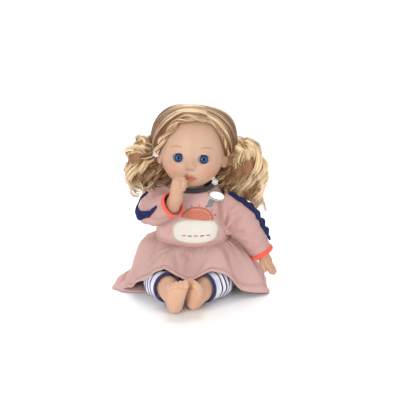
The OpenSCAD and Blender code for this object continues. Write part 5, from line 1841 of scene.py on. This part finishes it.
def stripePattern(tree):
    along = attribute(tree, "along")
    lilac = mixed(
        tree, between(tree, noise(tree, objectPlace(tree), 60.0), 0.4, 0.6, 0, 0.5), paint(*legs["white"]),
        paint(*legs["lilac"]),
    )
    wave = calc(tree, "FRACT", calc(tree, "DIVIDE", along, legs["stripe"]))
    far = calc(tree, "ABSOLUTE", calc(tree, "SUBTRACT", wave, 0.5))
    line = between(tree, far, legs["stripeWidth"], legs["stripeWidth"] - 0.05)
    body = between(tree, along, legs["band"], legs["band"] + 0.4)
    return mixed(tree, calc(tree, "MULTIPLY", line, body), lilac, paint(*dress["navy"]))


def makeLegging(side, look, navy):
    line = legLine(side)
    knee, ring = legPlaces(side, "knee", "ring")
    way = unit(ring - knee)
    radius = legs["radius"] + 2.2
    bones = [
        (line[i], line[i + 20], radius + 1.0 * (i < 80), radius - 0.4 * (i > 100)) for i in range(0, 140, 20)
    ]
    bones.append((line[-1], ring + way * 12, radius - 0.6, radius - 0.8))
    piece = softForm(side + "Legging", bones, look, 1.5, 8)
    points = vertsOf(piece)
    near = np.argmin(((points[:, None] - line[None, ::4]) ** 2).sum(-1), axis=1) * 4
    length = np.linalg.norm(np.diff(line, axis=0), axis=1).sum()
    along = length * (1 - near / 159) - ((points - line[near]) * unit(np.gradient(line, axis=0))[near]).sum(1)
    crease = (
        0.8 * np.sin(along / 3.1 + 1.5 * ripple(points, 30, 4)) * bell((along - length * 0.42) / 16)
        + 0.8 * ripple(points, 26, 6)
    )
    points = points + normalsOf(piece) * crease[:, None]
    points[:, 2] = np.maximum(points[:, 2], 0.8)
    setVerts(piece, points)
    setFloats(piece, "along", along)
    cutBeyond(piece, ring, way)
    cutBeyond(piece, line[12], line[12] - line[20])
    applied(thicken(piece, 1.6))
    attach(piece, "torso")
    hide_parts(side + "_legging")
    turned, rows = ringWays(way, circle(96)), []
    for lift, out in legs["hemProfile"]:
        row = ring + way * lift + turned * (radius - 0.4 + out)
        row[:, 2] = np.maximum(row[:, 2], 0.5)
        rows.append(row)
    band = addGrid(side + "HemBand", np.array(rows), navy)
    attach(band, "torso")
    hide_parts(side + "_hem_band")


def makeLegs():
    vinyl = vinylMaterial("legVinyl", legs["skin"])
    stripes = clothMaterial(
        "stripedJersey", legs["white"], 1300, 0.25, cloud=0.03, sheen=0.1, pattern=stripePattern
    )
    navy = clothMaterial("navyRib", dress["navy"], 1500, 0.3)
    for side, _ in sides:
        piece = softForm(side + "Leg", legBones(side), vinyl, 0.7, 2)
        points = vertsOf(piece)
        points[:, 2] = np.maximum(points[:, 2], 0.3)
        setVerts(piece, points)
        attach(piece, side + "_leg")
        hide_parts(side + "_leg")
        makeLegging(side, stripes, navy)
    print("legs and leggings are on")


# Under the clothes: stuffed body and thighs, the seat of the leggings, and the fittings
under = {
    "cloth": (234, 226, 216), "fill": 0.8, "thighRadius": 18.4, "seatTop": 60.0, "seatOut": 2.5,
    "seatStripes": 30.0,
}
spring = {"wire": 0.4, "turns": 5.5, "points": 200, "travel": 0.002}  # mm, but the travel of the button in m
fittings = {  # colour, roughness, metallic and the CAD nodes that have it
    "nylonDisc": ((222, 219, 208), 0.5, 0.0, (
        "neck_washer", "right_shoulder_washer", "left_shoulder_washer", "right_knee_washer",
        "left_knee_washer", "eye_bracket",
        "neck_joint", "right_arm_joint", "left_arm_joint", "right_leg_joint", "left_leg_joint",
    )),
    "caseShell": ((230, 229, 224), 0.38, 0.0, ("case_front", "case_back", "battery_door")),
    "brightSteel": ((178, 180, 184), 0.26, 1.0, ("case_screws", "battery_contacts", "eye_axle")),
    "blackMoulding": ((34, 34, 37), 0.5, 0.0, ("speaker", "power_switch")),
    "castWeight": ((112, 114, 118), 0.42, 0.9, ("eye_weight",)),
    "buttonRed": ((206, 46, 40), 0.34, 0.0, ("press_button",)),
    "cellWrap": (None, 0.3, 0.0, ("battery_cells",)),
    "greenBoard": (None, 0.4, 0.0, ("circuit_board",)),
}


def cellPattern(tree):
    # a black wrap with a copper end
    across = addNode(tree, "ShaderNodeSeparateXYZ", {0: objectPlace(tree)}).outputs["X"]
    return mixed(tree, between(tree, across, 0.0085, 0.0088), paint(36, 36, 38), paint(186, 112, 62))


def boardPattern(tree):
    # paler tracks on green
    tracks = addNode(
        tree, "ShaderNodeTexVoronoi", {"Vector": objectPlace(tree), "Scale": 240.0}, distance="MANHATTAN"
    )
    line = between(tree, tracks.outputs["Distance"], 0.38, 0.46)
    return mixed(tree, line, paint(22, 92, 50), paint(64, 138, 84))


def bodyRing(z, off, angle):
    half, front, back = (np.interp(z, bodyHeights, table) + off for table in bodySections)
    return np.stack(
        [
            half * np.cos(angle), np.where(np.sin(angle) < 0, front, back) * np.sin(angle),
            np.full(angle.shape, z),
        ],
        axis=-1,
    )


def makeStuffing():
    cloth = clothMaterial("stuffedCotton", under["cloth"], 1300, 0.25, cloud=0.04, sheen=0.1)
    angle = circle(120)
    plan = [(2.7, -18), (2.7, -9), (3.4, -4), (5.5, -1.6)] + [(z, -0.7) for z in np.linspace(10, 134, 30)]
    plan += [(138, -1.2), (141.5, -2.2), (142.8, -5), (142.9, -12)]
    rings = np.array([bodyRing(z, off, angle) for z, off in plan])
    seam = 0.8 * bell(np.sin(angle) / 0.045) * (np.abs(np.cos(angle)) > 0.5)
    pucker = 0.4 * ripple(rings, 30, 9) - 0.4 - seam
    piece = addGrid("stuffedBody", rings + unit(rings * (1, 1.2, 0)) * pucker[..., None], cloth, ends=True)
    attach(subdivide(piece), "torso")
    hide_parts("cloth_body")
    for side, _ in sides:
        (hip, knee), r = legPlaces(side, "hip", "knee"), under["thighRadius"]
        middle = hip + (knee - hip) * 0.5
        bones = [(hip, middle, r - 0.4, r + 0.3), (middle, knee, r + 0.3, r)]
        piece = softForm(side + "StuffedThigh", bones, cloth, 1.8, 4)
        setVerts(piece, vertsOf(piece) + normalsOf(piece) * 0.4 * ripple(vertsOf(piece), 22, 12)[:, None])
        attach(piece, "torso")
        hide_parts(side + "_thigh")
    print("body and thighs are stuffed")


def makeSeat(look):
    angle = circle(140)
    out = under["seatOut"]
    plan = [(0.5, -30), (0.5, -20), (0.5, -10), (0.6, -4), (1.2, -0.6), (2.6, 1.2), (5, out - 0.4)]
    plan += [(z, out) for z in np.linspace(9, under["seatTop"], 16)]
    rings = np.array([bodyRing(z, off, angle) for z, off in plan])
    crease = 0.5 * ripple(rings, 24, 15) * ease(1.0, 8.0, rings[..., 2])
    piece = addGrid("leggingsSeat", rings + unit(rings * (1, 1.2, 0)) * crease[..., None], look)
    setFloats(piece, "along", rings[..., 2].ravel() + under["seatStripes"])
    applied(thicken(piece, 1.5))
    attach(piece, "torso")
    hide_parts("leggings_seat")


def makeSpring():
    # a wound wire, as long as the spring's box
    low, high = (np.array(corner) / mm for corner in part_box("button_spring"))
    wire, count = spring["wire"], spring["points"]
    t = np.linspace(0, 1, count)
    pitch = np.interp(t, [0, 0.14, 0.86, 1], [0.0, 0.06, 0.94, 1.0])  # closed turns at both ends
    angle, radius = 2 * math.pi * spring["turns"] * t, (high[0] - low[0]) / 2 - wire
    middle = (low + high) / 2
    y = low[1] + wire + (high[1] - low[1] - 2 * wire) * pitch
    path = np.stack([middle[0] + radius * np.cos(angle), y, middle[2] + radius * np.sin(angle)], axis=1)
    rings = tubeRings(path, np.full(count, wire), (0, 1, 0), 8)
    piece = addGrid("buttonSpring", rings, bpy.data.materials["brightSteel"], ends=True)
    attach(piece, "torso")
    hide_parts("button_spring")
    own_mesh(piece)


def finishFittings():
    patterns = {"cellWrap": cellPattern, "greenBoard": boardPattern}
    for name, (colour, roughness, metallic, nodes) in fittings.items():
        look = mouldedMaterial(name, colour, roughness, metallic, pattern=patterns.get(name))
        for node in nodes:
            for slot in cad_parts[node].material_slots:
                slot.material = look
    print("fittings are finished")


makeArms()
makeLegs()
makeStuffing()
makeSeat(bpy.data.materials["stripedJersey"])
finishFittings()
makeSpring()
